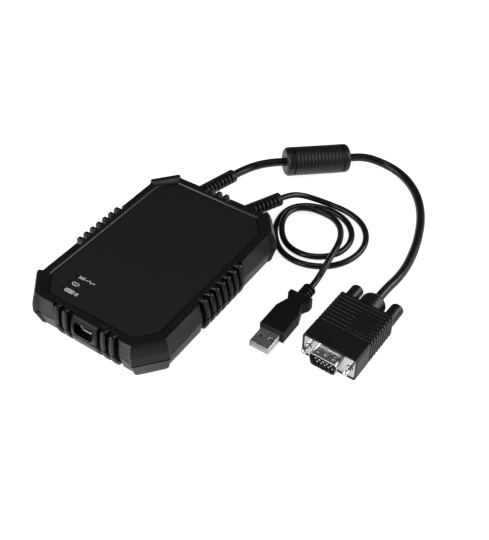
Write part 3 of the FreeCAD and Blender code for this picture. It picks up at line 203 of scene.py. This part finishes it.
sheet = bmesh.new()
bmesh.ops.create_grid(sheet, x_segments=1, y_segments=1, size=FLOOR_SIDE / 2)
floor = mesh_object("floor", sheet, white_paper())
print(f"floor, {FLOOR_SIDE} m wide")

# %% [markdown]
# ## Room
# A bright room would light the black plastic from all sides, and a black one would show as a dark band
# behind the floor in low views. So the camera sees a white backdrop, and everything else sees a dim room,
# a little paler at the horizon than overhead. Surfaces that look up then stay black.

# %% Room
BACKDROP = (1.0, 1.0, 1.0)
HORIZON_LIGHT = 0.1
OVERHEAD_LIGHT = 0.07
PALE_UP_TO = 0.05
DIM_FROM = 0.3


def make_room():
    """The world. Its light changes with the rise of a ray, the sine of the ray's angle."""
    world = bpy.data.worlds.new("studio")
    scene.world = world
    world.use_nodes = True
    world.node_tree.nodes.clear()
    place = add_node(world, "ShaderNodeTexCoord")
    rise = add_node(world, "ShaderNodeSeparateXYZ")
    link(world, place.outputs["Generated"], rise.inputs[0])
    light = fade(world, rise.outputs["Z"], HORIZON_LIGHT, OVERHEAD_LIGHT, PALE_UP_TO, DIM_FROM)
    path = add_node(world, "ShaderNodeLightPath")
    room = add_node(world, "ShaderNodeBackground")
    room.inputs["Color"].default_value = (*BACKDROP, 1)
    link(world, combine(world, "MAXIMUM", path.outputs["Is Camera Ray"], light), room.inputs["Strength"])
    output = add_node(world, "ShaderNodeOutputWorld")
    link(world, room.outputs[0], output.inputs["Surface"])


make_room()
print("room made")

# %% [markdown]
# ## Lamps
# Black plastic is drawn by what it reflects. A wide low lamp in front, on the left, draws the rear lip, the
# ribs and the bright metal. A smaller one behind, on the right, draws the left lip and the edges that look
# away. A weak one overhead fills the shadows. Wide lamps are chosen because a small strong one would leave
# white specks on the plated metal.

# %% Lamps
LAMPS = {
    "front_lamp": {"place": (-260, -420, 270), "aim": (0, 0, 0), "width": 800, "height": 190, "power": 2.6},
    "rear_lamp": {"place": (420, 330, 240), "aim": (20, 40, 0), "width": 420, "height": 260, "power": 1.3},
    "fill_lamp": {"place": (60, 40, 800), "aim": (60, 40, 0), "width": 300, "height": 300, "power": 0.6},
}


def add_lamp(name, place, aim, width, height, power):
    """A rectangular soft lamp at a place, turned to look at a point. Millimetres and watts."""
    data = bpy.data.lights.new(name, "AREA")
    data.shape = "RECTANGLE"
    data.size = width * MM
    data.size_y = height * MM
    data.energy = power
    lamp = bpy.data.objects.new(name, data)
    scene.collection.objects.link(lamp)
    lamp.location = Vector(place) * MM
    lamp.rotation_mode = "QUATERNION"
    lamp.rotation_quaternion = (Vector(aim) - Vector(place)).to_track_quat("-Z", "Y")


for name, settings in LAMPS.items():
    add_lamp(name, **settings)
print(f"{len(LAMPS)} lamps")

# %% [markdown]
# ## Cables
# Each cable is one fixed length of flexible cord. A NURBS curve of order three takes the route's points as
# its control points and stays smooth between them, so it hangs and lies as a cord does. The VGA cable runs
# straight through its ferrite; one more point near each end of that run keeps it straight there.

# %% Cable routes
VGA_ROUTE = [
    (-0.0134, 0.0943, 0.0140), (-0.01064, 0.10495, 0.0140), (-0.0029, 0.1163, 0.0145),
    (0.00645, 0.12632, 0.01326), (0.0350, 0.15695, 0.00949),
    (0.0440, 0.1666, 0.0083), (0.0553, 0.1723, 0.0044), (0.0682, 0.1710, 0.0029), (0.0806, 0.1634, 0.0029),
    (0.0922, 0.1512, 0.0029), (0.1020, 0.1340, 0.0029), (0.1094, 0.1120, 0.0029), (0.1132, 0.0915, 0.0036),
    (0.1144, 0.0750, 0.0062), (0.11313, 0.06126, 0.00775), (0.11274, 0.05027, 0.00775),
]
USB_ROUTE = [
    (0.0238, 0.0919, 0.0128), (0.02663, 0.09884, 0.01251), (0.0312, 0.1069, 0.0088), (0.0398, 0.1124, 0.0050),
    (0.0496, 0.1157, 0.0024), (0.0603, 0.1156, 0.0020), (0.0716, 0.1114, 0.0020), (0.0799, 0.1030, 0.0020),
    (0.0841, 0.0920, 0.0020), (0.0836, 0.0800, 0.0020), (0.0784, 0.0688, 0.0020), (0.0690, 0.0608, 0.0020),
    (0.0574, 0.0574, 0.0020), (0.0464, 0.0592, 0.0020), (0.0372, 0.0656, 0.0020), (0.0294, 0.0762, 0.0020),
    (0.0260, 0.0876, 0.0020), (0.0266, 0.0976, 0.0020), (0.0312, 0.1044, 0.0020), (0.0386, 0.1088, 0.0020),
    (0.0476, 0.1107, 0.0020), (0.0574, 0.1098, 0.0020), (0.0664, 0.1052, 0.0020), (0.0730, 0.0972, 0.0020),
    (0.0756, 0.0874, 0.0020), (0.0736, 0.0772, 0.0020), (0.0668, 0.0692, 0.0020), (0.0568, 0.0651, 0.0020),
    (0.0462, 0.0662, 0.0020), (0.0376, 0.0722, 0.0020), (0.0316, 0.0808, 0.0042), (0.0296, 0.0902, 0.0048),
    (0.0318, 0.0980, 0.0046), (0.0384, 0.1038, 0.0036), (0.0480, 0.1062, 0.0020), (0.0560, 0.1046, 0.0022),
    (0.0624, 0.0996, 0.0032), (0.0672, 0.0924, 0.0052), (0.0710, 0.0844, 0.0079), (0.0736, 0.0764, 0.0098),
    (0.0756, 0.0620, 0.0098), (0.0760, 0.0544, 0.0074), (0.0758, 0.0478, 0.0043), (0.0758, 0.0416, 0.0043),
]
print(f"routes of {len(VGA_ROUTE)} and {len(USB_ROUTE)} points")

# %% [markdown]
# A tube could be swept as a mesh, but a curve with a round bevel keeps the cord editable. Its points carry
# the radius. Each cord is attached to the adapter's body.

# %% Cables
VGA_CABLE_DIAMETER = 5.4 * MM
USB_CABLE_DIAMETER = 3.8 * MM


def lay_cable(name, route, diameter):
    """A round cord whose smooth line has the route's points as its control points, which carry its radius."""
    curve = bpy.data.curves.new(name, "CURVE")
    curve.dimensions = "3D"
    curve.bevel_depth = 1.0
    curve.bevel_resolution = 8
    curve.use_fill_caps = True
    spline = curve.splines.new("NURBS")
    spline.points.add(len(route) - 1)
    for point, place in zip(spline.points, route):
        point.co = (*place, 1.0)
        point.radius = diameter / 2
    spline.order_u = 3
    spline.use_endpoint_u = True
    spline.resolution_u = 16
    cable = bpy.data.objects.new(name, curve)
    scene.collection.objects.link(cable)
    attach(cable, "adapter")
    return cable


vga_cord = lay_cable("vga_cord", VGA_ROUTE, VGA_CABLE_DIAMETER)
usb_cord = lay_cable("usb_cord", USB_ROUTE, USB_CABLE_DIAMETER)
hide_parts("vga_cable")
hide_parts("usb_cable")
print("two cables laid")

# %% [markdown]
# ## Finishes
# A moulded black plastic is never one flat grey: the mould's grain breaks up the reflection and the shade
# wanders a little. Each finish below is a Principled shader fed by noise in Object coordinates, and its
# edges are softened by a Bevel node, as real moulded edges are. An image could do this too, but noise has
# no seams and stays sharp close up.

# %% Grain, shade and edge helpers
NOISE_LOW = 0.3
NOISE_HIGH = 0.7
EDGE_SAMPLES = 6


def grey(level):
    """A neutral colour."""
    return (level, level, level)


def new_finish(name, colour, roughness, specular=0.5, metallic=0.0):
    """A material with a Principled shader whose plain numbers are set on its own sockets."""
    material = bpy.data.materials.new(name)
    material.use_nodes = True
    shader = material.node_tree.nodes["Principled BSDF"]
    shader.inputs["Base Color"].default_value = (*colour, 1)
    shader.inputs["Roughness"].default_value = roughness
    shader.inputs["Specular IOR Level"].default_value = specular
    shader.inputs["Metallic"].default_value = metallic
    return material, shader


def grain(material, size, detail=2.0):
    """Noise in Object coordinates with grains of about that size in millimetres."""
    place = add_node(material, "ShaderNodeTexCoord")
    noise = add_node(material, "ShaderNodeTexNoise")
    noise.inputs["Scale"].default_value = 1.0 / (size * MM)
    noise.inputs["Detail"].default_value = detail
    link(material, place.outputs["Object"], noise.inputs["Vector"])
    return noise.outputs["Fac"]


def ranged(material, value, low, high, start=NOISE_LOW, end=NOISE_HIGH):
    """Spread a value over a range."""
    node = add_node(material, "ShaderNodeMapRange")
    node.inputs["From Min"].default_value = start
    node.inputs["From Max"].default_value = end
    node.inputs["To Min"].default_value = low
    node.inputs["To Max"].default_value = high
    link(material, value, node.inputs["Value"])
    return node.outputs[0]


def shades(material, value, dark, light, start=NOISE_LOW, end=NOISE_HIGH):
    """Colours between a dark and a light shade, by a value."""
    ramp = add_node(material, "ShaderNodeValToRGB")
    ramp.color_ramp.elements[0].position = start
    ramp.color_ramp.elements[0].color = (*dark, 1)
    ramp.color_ramp.elements[1].position = end
    ramp.color_ramp.elements[1].color = (*light, 1)
    link(material, value, ramp.inputs["Fac"])
    return ramp.outputs["Color"]


def soft_edges(material, radius):
    """A normal that rounds sharp edges by a radius in millimetres."""
    bevel = add_node(material, "ShaderNodeBevel", samples=EDGE_SAMPLES)
    bevel.inputs["Radius"].default_value = radius * MM
    return bevel.outputs["Normal"]


def bump(material, value, height, strength, normal):
    """A bump of that height in millimetres on top of a normal."""
    node = add_node(material, "ShaderNodeBump")
    node.inputs["Strength"].default_value = strength
    node.inputs["Distance"].default_value = height * MM
    link(material, value, node.inputs["Height"])
    link(material, normal, node.inputs["Normal"])
    return node.outputs["Normal"]


print("grain, shade and edge helpers ready")

# %% [markdown]
# Nearly all the pieces are either moulded or plated, so two functions make most of the finishes. In a
# plastic the fine grain of the mould sets both the gloss and the bump, and a broad noise moves the shade.
# A plated sheet is smoother: its gloss has faint marks, and its surface only waves a little.

# %% Plastic and plated metal
SHADE_PATCH = 14.0
GLOSS_SPREAD = 0.06
GRAIN_STRENGTH = 0.6
PLATE_MARK = 0.8
PLATE_MARK_DETAIL = 3.0
PLATE_PATCH = 6.0
PLATE_GLOSSIER = 0.04
PLATE_DULLER = 0.06
PLATE_WAVE = 0.004
PLATE_WAVE_STRENGTH = 0.2
METAL_EDGE = 0.35


def moulded(name, dark, light, roughness, specular, grain_size, bump_height, edge):
    """A moulded plastic or rubber."""
    material, shader = new_finish(name, light, roughness, specular)
    fine = grain(material, grain_size)
    broad = grain(material, SHADE_PATCH)
    gloss = ranged(material, fine, roughness - GLOSS_SPREAD, roughness + GLOSS_SPREAD)
    relief = bump(material, fine, bump_height, GRAIN_STRENGTH, soft_edges(material, edge))
    link(material, shades(material, broad, dark, light), shader.inputs["Base Color"])
    link(material, gloss, shader.inputs["Roughness"])
    link(material, relief, shader.inputs["Normal"])
    return material


def plated(name, dark, light, roughness):
    """A plated metal with faint drawn marks."""
    material, shader = new_finish(name, light, roughness, metallic=1.0)
    fine = grain(material, PLATE_MARK, PLATE_MARK_DETAIL)
    broad = grain(material, PLATE_PATCH)
    gloss = ranged(material, fine, roughness - PLATE_GLOSSIER, roughness + PLATE_DULLER)
    relief = bump(material, broad, PLATE_WAVE, PLATE_WAVE_STRENGTH, soft_edges(material, METAL_EDGE))
    link(material, shades(material, broad, dark, light), shader.inputs["Base Color"])
    link(material, gloss, shader.inputs["Roughness"])
    link(material, relief, shader.inputs["Normal"])
    return material


def dress(material, *names):
    """Give a finish to solids by name."""
    for name in names:
        nodes[name].data.materials.clear()
        nodes[name].data.materials.append(material)


print("plastic and metal ready")

# %% [markdown]
# ## Casing
# The two halves of the casing are moulded in black plastic. The walls are satin and the lip round the panel
# is a little glossier, while the top panel has a fine sparked grain that scatters the light as tiny specks.
# Two materials would need the panel as a piece of its own. One material with a mask is simpler: the panel
# is where the surface looks up at its height, and the walls' gloss changes with the height.

# %% Panel mask
PANEL_HEIGHT = 23.8
PANEL_TOLERANCE = 0.15
SLANTED = 0.9
LEVEL = 0.95


def coordinate(material, axis):
    """A surface point's place along one axis, in metres."""
    place = add_node(material, "ShaderNodeTexCoord")
    split = add_node(material, "ShaderNodeSeparateXYZ")
    link(material, place.outputs["Object"], split.inputs[0])
    return split.outputs[axis]


def on_panel(material):
    """1 on the flat top panel, 0 elsewhere."""
    at_height = add_node(material, "ShaderNodeMath", operation="COMPARE")
    at_height.inputs[1].default_value = PANEL_HEIGHT * MM
    at_height.inputs[2].default_value = PANEL_TOLERANCE * MM
    link(material, coordinate(material, "Z"), at_height.inputs[0])
    surface = add_node(material, "ShaderNodeNewGeometry")
    facing = add_node(material, "ShaderNodeSeparateXYZ")
    link(material, surface.outputs["True Normal"], facing.inputs[0])
    looks_up = ranged(material, facing.outputs["Z"], 0.0, 1.0, SLANTED, LEVEL)
    return combine(material, "MULTIPLY", at_height.outputs[0], looks_up)


def mixed(material, mask, off, on, kind="FLOAT"):
    """One value where the mask is 0 and another where it is 1."""
    node = add_node(material, "ShaderNodeMix", data_type=kind)
    link(material, mask, node.inputs["Factor"])
    for socket, source in zip([item for item in node.inputs if item.enabled][1:], (off, on)):
        link(material, source, socket)
    return next(item for item in node.outputs if item.enabled)


print(f"panel mask at {PANEL_HEIGHT} mm")

# %% [markdown]
# The mask now chooses between two sets of noise: the walls' fine grain and the panel's coarser specks. Each
# speck is paler, glossier and higher than the plastic around it, as on a mould that was roughened by sparks.

# %% Casing finish
CASING_SPECULAR = 0.42
CASING_EDGE = 0.2
WALL_GRAIN = 0.3
WALL_DARK = (0.007, 0.007, 0.0074)
WALL_LIGHT = (0.0105, 0.0105, 0.011)
WALL_ROUGHNESS = 0.36
WALL_TOP = 21.8
LIP_ROUGHNESS = 0.3
LIP_FOOT = 23.2
WALL_GLOSS_SPREAD = 0.05
WALL_RELIEF = 0.3
PANEL_GRAIN = 0.55
PANEL_DARK = (0.003, 0.003, 0.0032)
PANEL_LIGHT = (0.0165, 0.0165, 0.017)
SPECK_FROM = 0.35
SPECK_FULL = 0.75
PANEL_DULL = 0.72
PANEL_GLOSS = 0.5
RELIEF_HEIGHT = 0.03
RELIEF_STRENGTH = 0.7


def casing_plastic():
    """Satin walls, a glossier lip and a speckled panel."""
    material, shader = new_finish("casing_plastic", WALL_LIGHT, WALL_ROUGHNESS, CASING_SPECULAR)
    panel = on_panel(material)
    broad = grain(material, SHADE_PATCH)
    fine = grain(material, WALL_GRAIN)
    specks = grain(material, PANEL_GRAIN, 1.0)
    wall_shade = shades(material, broad, WALL_DARK, WALL_LIGHT)
    panel_shade = shades(material, specks, PANEL_DARK, PANEL_LIGHT, SPECK_FROM, SPECK_FULL)
    link(material, mixed(material, panel, wall_shade, panel_shade, "RGBA"), shader.inputs["Base Color"])
    rise = coordinate(material, "Z")
    by_height = ranged(material, rise, WALL_ROUGHNESS, LIP_ROUGHNESS, WALL_TOP * MM, LIP_FOOT * MM)
    by_grain = ranged(material, fine, -WALL_GLOSS_SPREAD, WALL_GLOSS_SPREAD)
    wall_sheen = combine(material, "ADD", by_height, by_grain)
    panel_sheen = ranged(material, specks, PANEL_DULL, PANEL_GLOSS)
    link(material, mixed(material, panel, wall_sheen, panel_sheen), shader.inputs["Roughness"])
    wall_relief = ranged(material, fine, 0.0, WALL_RELIEF)
    panel_relief = ranged(material, specks, 0.0, 1.0)
    relief = mixed(material, panel, wall_relief, panel_relief)
    edges = soft_edges(material, CASING_EDGE)
    link(material, bump(material, relief, RELIEF_HEIGHT, RELIEF_STRENGTH, edges), shader.inputs["Normal"])
    return material


casing = casing_plastic()
print("casing plastic made")

# %% [markdown]
# ## Port recess
# The socket in front sits in a deep recess that looks quite black, as it lies in shade. The casing's satin
# plastic would mirror the floor in there, so the recess gets painted shade: a darker colour and a duller
# gloss than the casing's plastic. It is one mesh with the upper half, and a box round the recess tells which
# faces get it.

# %% Recess painted shade
RECESS_FROM = (-5.2, -64.9, 14.4)
RECESS_TO = (8.8, -60.0, 22.4)
# Darker than the casing's walls: painted shade for the deep recess.
recess_painted_shade = moulded(
    "recess_painted_shade", grey(0.002), grey(0.003), roughness=0.6, specular=0.06, grain_size=0.4,
    bump_height=0.01, edge=0.1)


def in_recess(place):
    """True for a point on the walls of the port's recess."""
    return all(low < value / MM < high for low, value, high in zip(RECESS_FROM, place, RECESS_TO))


print("recess plastic made")

# %% [markdown]
# ## Parting line
# The moulded halves meet in a parting line, a thin dark groove all round. The solids leave a narrow gap there
# with a rim behind it, and the gap alone looks pale. So the upper edge of the lower half is set back. A bevel
# would also round the inner edges, so the band is cut by two planes instead, a hair apart. Rays that start on
# a face and meet nothing show that it is an outer wall, and the corners of those faces move inwards.

# %% Parting groove
PARTING_HEIGHT = 13.5
GROOVE_DEPTH = 0.65
GROOVE_BELOW = 0.7
HAIR = 0.02
JOIN_WITHIN = 0.002
CUT_WITHIN = 0.0001
UPRIGHT_BELOW = math.sin(math.radians(45))


def joined_copy(name):
    """A solid's triangles, joined at their corners."""
    bm = bmesh.new()
    bm.from_mesh(nodes[name].data)
    bmesh.ops.remove_doubles(bm, verts=bm.verts, dist=JOIN_WITHIN * MM)
    return bm


def cut_groove(bm, top):
    """Set the outer wall back below a height. Two cuts, a hair apart, leave a ledge under the groove."""
    ledge = top - GROOVE_BELOW * MM
    for cut in (ledge, ledge + HAIR * MM):
        geometry = bm.verts[:] + bm.edges[:] + bm.faces[:]
        bmesh.ops.bisect_plane(
            bm, geom=geometry, dist=CUT_WITHIN * MM, plane_co=(0, 0, cut), plane_no=(0, 0, 1))
    bm.normal_update()
    shell = BVHTree.FromBMesh(bm)
    rim = set()
    for face in bm.faces:
        upright = abs(face.normal.z) < UPRIGHT_BELOW
        in_band = all(ledge + HAIR / 2 * MM < corner.co.z < top + HAIR * MM for corner in face.verts)
        start = face.calc_center_median() + face.normal * HAIR * MM
        if upright and in_band and shell.ray_cast(start, face.normal)[0] is None:
            rim.update(face.verts)
    moves = {corner: -corner.normal.xy.normalized() * GROOVE_DEPTH * MM for corner in rim}
    for corner, move in moves.items():
        corner.co.xy += move
    return len(rim)


lower_copy = joined_copy("lower_shell")
print(f"{cut_groove(lower_copy, PARTING_HEIGHT * MM)} corners set back at the parting line")

# %% [markdown]
# ## Casing halves
# The solids arrive as loose flat triangles, so the bow of each bumper shows its bands. A copy of each half,
# joined at its corners, can be shaded smooth wherever two faces meet at a shallow angle, and weighted normals
# keep its flat walls flat. More triangles would hide the bands too, but at a cost on every wall.

# %% Casing halves
SMOOTH_BELOW = math.radians(16)


def casing_half(title, name, bm):
    """A shell's smooth copy, which stands for its solid, with painted shade in the port's recess."""
    for face in bm.faces:
        # Faces in the port's recess get the second material, which is painted shade.
        face.material_index = int(in_recess(face.calc_center_median()))
    half = mesh_object(title, bm, casing, recess_painted_shade)
    half.data.shade_smooth()
    half.data.set_sharp_from_angle(angle=SMOOTH_BELOW)
    weights = half.modifiers.new("flat_walls", "WEIGHTED_NORMAL")
    weights.keep_sharp = True
    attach(half, "adapter")
    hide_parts(name)
    print(f"{title}: {len(half.data.polygons)} faces")


casing_half("upper_casing", "upper_shell", joined_copy("upper_shell"))
casing_half("lower_casing", "lower_shell", lower_copy)

# %% [markdown]
# ## Cables, plugs and strain reliefs
# The cables' jackets are soft and a little shiny, so each shows a thin bright line along its back. The hood
# of the VGA plug and the thumbscrews are harder and finely grained. The ferrite's jacket, the USB grip and
# the strain reliefs are duller. They are all the same kind of black, and only grain and gloss tell them
# apart, so one function makes them from those few numbers.

# %% Cable, plug and relief finishes
jacket = moulded(
    "cable_jacket", grey(0.005), grey(0.009), roughness=0.27, specular=0.5, grain_size=0.6,
    bump_height=0.008, edge=0.2)
for cord in (vga_cord, usb_cord):
    cord.data.materials.append(jacket)
hood_black = moulded(
    "hood_black", grey(0.006), grey(0.010), roughness=0.34, specular=0.45, grain_size=0.35,
    bump_height=0.008, edge=0.5)
dress(hood_black, "vga_hood", "left_screw_knob", "right_screw_knob")
grip_black = moulded(
    "grip_black", grey(0.006), grey(0.010), roughness=0.40, specular=0.2, grain_size=0.35,
    bump_height=0.012, edge=0.4)
dress(grip_black, "usb_grip")
ferrite_black = moulded(
    "ferrite_black", grey(0.006), grey(0.009), roughness=0.38, specular=0.5, grain_size=0.4,
    bump_height=0.010, edge=0.3)
dress(ferrite_black, "ferrite_cover")
dull_black = moulded(
    "dull_black", grey(0.006), grey(0.010), roughness=0.42, specular=0.4, grain_size=0.4,
    bump_height=0.012, edge=0.3)
dress(dull_black, "vga_strain_relief", "usb_strain_relief", "vga_lead", "usb_lead")
insert_black = moulded(
    "insert_black", grey(0.004), grey(0.007), roughness=0.5, specular=0.4, grain_size=0.3,
    bump_height=0.006, edge=0.1)
dress(insert_black, "vga_insert", "usb_mini_insert")
dress(insert_black, "main_processor", "memory_chip", "video_converter", "usb_hub_chip")
print("plastics dressed")

# %% [markdown]
# ## Plated metal
# The plugs' shells are steel sheet plated with nickel, rolled and drawn, so their shine has faint marks. A
# metal has hardly a colour of its own: its top mirrors the dark room and turns grey, and its front mirrors
# the floor and turns white. The pins are plated pale, and only the flat contacts are gold.

# %% Metal finishes
nickel = plated("nickel", (0.86, 0.86, 0.87), grey(0.95), roughness=0.2)
dress(nickel, "vga_shell", "usb_shell", "vga_pins", "crystal", "capacitors")
dress(nickel, "left_screw_shaft", "right_screw_shaft", "case_screws", "board_screws")
gold = plated("gold_contacts", (0.72, 0.6, 0.4), (0.85, 0.72, 0.5), roughness=0.25)
dress(gold, "usb_contacts", "usb_mini_contacts")
print("metals dressed")

# %% [markdown]
# The shell of the front socket is tinned, and all that shows of it is a bright line beside a dark mouth.
# Inside the recess a mirror has little to reflect, so this tin is shaded mostly as a pale paint. A short way
# behind the rim its colour fades to a painted shade, a dark tone, so that the mouth stays dark.

# %% Socket finish
TIN_METALLIC = 0.25
TIN_ROUGHNESS = 0.35
TIN_GLOSSIEST = 0.3
TIN_DULLEST = 0.4
TIN_GRAIN = 0.8
TIN_WAVE = 0.002
TIN_WAVE_STRENGTH = 0.2
TIN_EDGE = 0.1
RIM_BRIGHT_TO = 0.45
# From this depth behind the rim, in millimetres, the colour is painted shade.
MOUTH_SHADE_FROM = 0.8
RIM_BRIGHT = grey(0.95)
# The dark tone below is painted shade inside the socket's mouth.
MOUTH_PAINTED_SHADE = grey(0.02)


def socket_tin():
    """Bright at the front socket's rim, with painted shade inside it."""
    material, shader = new_finish("tin_with_painted_shade", RIM_BRIGHT, TIN_ROUGHNESS, metallic=TIN_METALLIC)
    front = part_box("usb_mini_shell")[0][1]
    depth = coordinate(material, "Y")
    # The colour fades from the pale rim to painted shade inside the mouth.
    rim = ranged(material, depth, 1.0, 0.0, front + RIM_BRIGHT_TO * MM, front + MOUTH_SHADE_FROM * MM)
    link(material, shades(material, rim, MOUTH_PAINTED_SHADE, RIM_BRIGHT, 0.0, 1.0), shader.inputs["Base Color"])
    fine = grain(material, TIN_GRAIN)
    link(material, ranged(material, fine, TIN_GLOSSIEST, TIN_DULLEST), shader.inputs["Roughness"])
    edges = soft_edges(material, TIN_EDGE)
    link(material, bump(material, fine, TIN_WAVE, TIN_WAVE_STRENGTH, edges), shader.inputs["Normal"])
    return material


dress(socket_tin(), "usb_mini_shell")
print("socket dressed")

# %% [markdown]
# ## Lights and inner pieces
# The three status lights are unlit: each is the end of a dark clear rod, nearly black with a blue tinge. The
# pale plastic of the board's connectors is also the tongue in the mouth of the USB plug. The rest, the board
# and the ferrite's core, lies inside and would show only if the casing were opened.

# %% Light windows and inner pieces
window = moulded(
    "light_window", (0.004, 0.004, 0.010), (0.008, 0.008, 0.020), roughness=0.15, specular=0.5,
    grain_size=0.3, bump_height=0.002, edge=0.1)
dress(window, "light_pipes")
green = moulded(
    "board_green", (0.01, 0.1, 0.04), (0.02, 0.14, 0.06), roughness=0.4, specular=0.5, grain_size=0.5,
    bump_height=0.01, edge=0.1)
dress(green, "main_board")
pale = moulded(
    "pale_plastic", (0.78, 0.78, 0.77), (0.86, 0.86, 0.85), roughness=0.5, specular=0.5, grain_size=0.4,
    bump_height=0.01, edge=0.15)
dress(pale, "vga_header", "usb_header", "status_leds", "usb_tongue")
ferrite = moulded(
    "ferrite_grey", grey(0.03), grey(0.05), roughness=0.6, specular=0.4, grain_size=0.4,
    bump_height=0.02, edge=0.1)
dress(ferrite, "ferrite_core")
print("lights and inner pieces dressed")

# %% [markdown]
# ## Printed signs
# A white sign is printed beside each status light. Print could be a mask in the casing's material, but thin
# strokes are sharper as a mesh: each stroke is a cube, flattened and stretched along a line, that lies on the
# panel like a film of paint.

# %% Strokes
STROKE = 0.42
PRINT_THICKNESS = 0.02
ARROW_HEAD = 0.6
ARROW_SPREAD = 0.45


def add_stroke(bm, start, end):
    """A flat bar on the panel from one point to another, in millimetres."""
    start, end = Vector((*start, 0)), Vector((*end, 0))
    run = end - start
    turn = Matrix.Rotation(math.atan2(run.y, run.x), 4, "Z")
    size = Matrix.Diagonal((run.length + STROKE, STROKE, PRINT_THICKNESS, 1))
    middle = (start + end) / 2 + Vector((0, 0, PANEL_HEIGHT + PRINT_THICKNESS / 2))
    place = Matrix.Scale(MM, 4) @ Matrix.Translation(middle) @ turn @ size
    bmesh.ops.create_cube(bm, size=1.0, matrix=place)


def chain(points):
    """Lines from each point to the next."""
    return list(zip(points, points[1:]))


def box_lines(left, right, low, high):
    """The four sides of an upright box."""
    corners = [(left, low), (right, low), (right, high), (left, high)]
    return chain(corners + corners[:1])


def arrow_lines(tail, tip, level):
    """A level arrow with a two-stroke head."""
    back = math.copysign(ARROW_HEAD, tail - tip)
    head = [((tip, level), (tip + back, level + side)) for side in (-ARROW_SPREAD, ARROW_SPREAD)]
    return [((tail, level), (tip, level))] + head


print("stroke helpers ready")

# %% [markdown]
# The signs are plain pictures: two arrows and a pulse for traffic, a screen on its stand, and a keyboard with
# a mouse. Each is drawn in millimetres from its left end, at half of its height.

# %% Signs
HALF_HEIGHT = 0.95


def traffic_sign():
    """Two opposite arrows and a pulse."""
    pulse = [(5.0, 0.0), (6.6, 0.0), (7.3, HALF_HEIGHT), (8.4, -HALF_HEIGHT), (9.1, 0.0), (11.0, 0.0)]
    return arrow_lines(0.0, 4.0, 0.5) + arrow_lines(4.0, 0.0, -0.5) + chain(pulse)


def screen_sign():
    """A screen on its stand."""
    stand = [((2.1, -0.55), (2.1, -HALF_HEIGHT)), ((1.2, -HALF_HEIGHT), (3.0, -HALF_HEIGHT))]
    return box_lines(0.0, 4.2, -0.55, HALF_HEIGHT) + stand


def keyboard_sign():
    """A keyboard with two rows of keys, and a mouse with its wheel."""
    keys = [((x, level), (x + 0.5, level)) for level in (-0.35, 0.35) for x in (0.9, 2.2, 3.5, 4.6)]
    board = box_lines(0.0, 6.0, -HALF_HEIGHT, HALF_HEIGHT)
    mouse = box_lines(7.2, 8.6, -HALF_HEIGHT, HALF_HEIGHT)
    wheel = [((7.9, 0.0), (7.9, 0.5))]
    return board + keys + mouse + wheel


signs = {"traffic_sign": traffic_sign(), "screen_sign": screen_sign(), "keyboard_sign": keyboard_sign()}
print(f"{len(signs)} signs drawn")

# %% [markdown]
# The print is white paint, a little uneven. Each sign starts a short way to the right of its light.

# %% Print
LIGHT_PLACES = [(-25.6, -38.5), (-25.6, -44.0), (-25.6, -49.5)]
SIGN_OFFSET = 1.9
PRINT_GRAIN = 0.3
PRINT_ROUGHNESS = 0.5
PRINT_DARK = grey(0.86)
PRINT_LIGHT = grey(0.96)
print_white, print_shader = new_finish("print_white", PRINT_LIGHT, PRINT_ROUGHNESS)
print_shade = shades(print_white, grain(print_white, PRINT_GRAIN), PRINT_DARK, PRINT_LIGHT)
link(print_white, print_shade, print_shader.inputs["Base Color"])


def print_sign(name, lines, light):
    """One printed sign beside a light."""
    x, y = light
    bm = bmesh.new()
    for start, end in lines:
        add_stroke(bm, *((x + SIGN_OFFSET + across, y + along) for across, along in (start, end)))
    sign = mesh_object(name, bm, print_white)
    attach(sign, "adapter")
    print(f"{name}: {len(lines)} strokes")


for (name, lines), light in zip(signs.items(), LIGHT_PLACES):
    print_sign(name, lines, light)
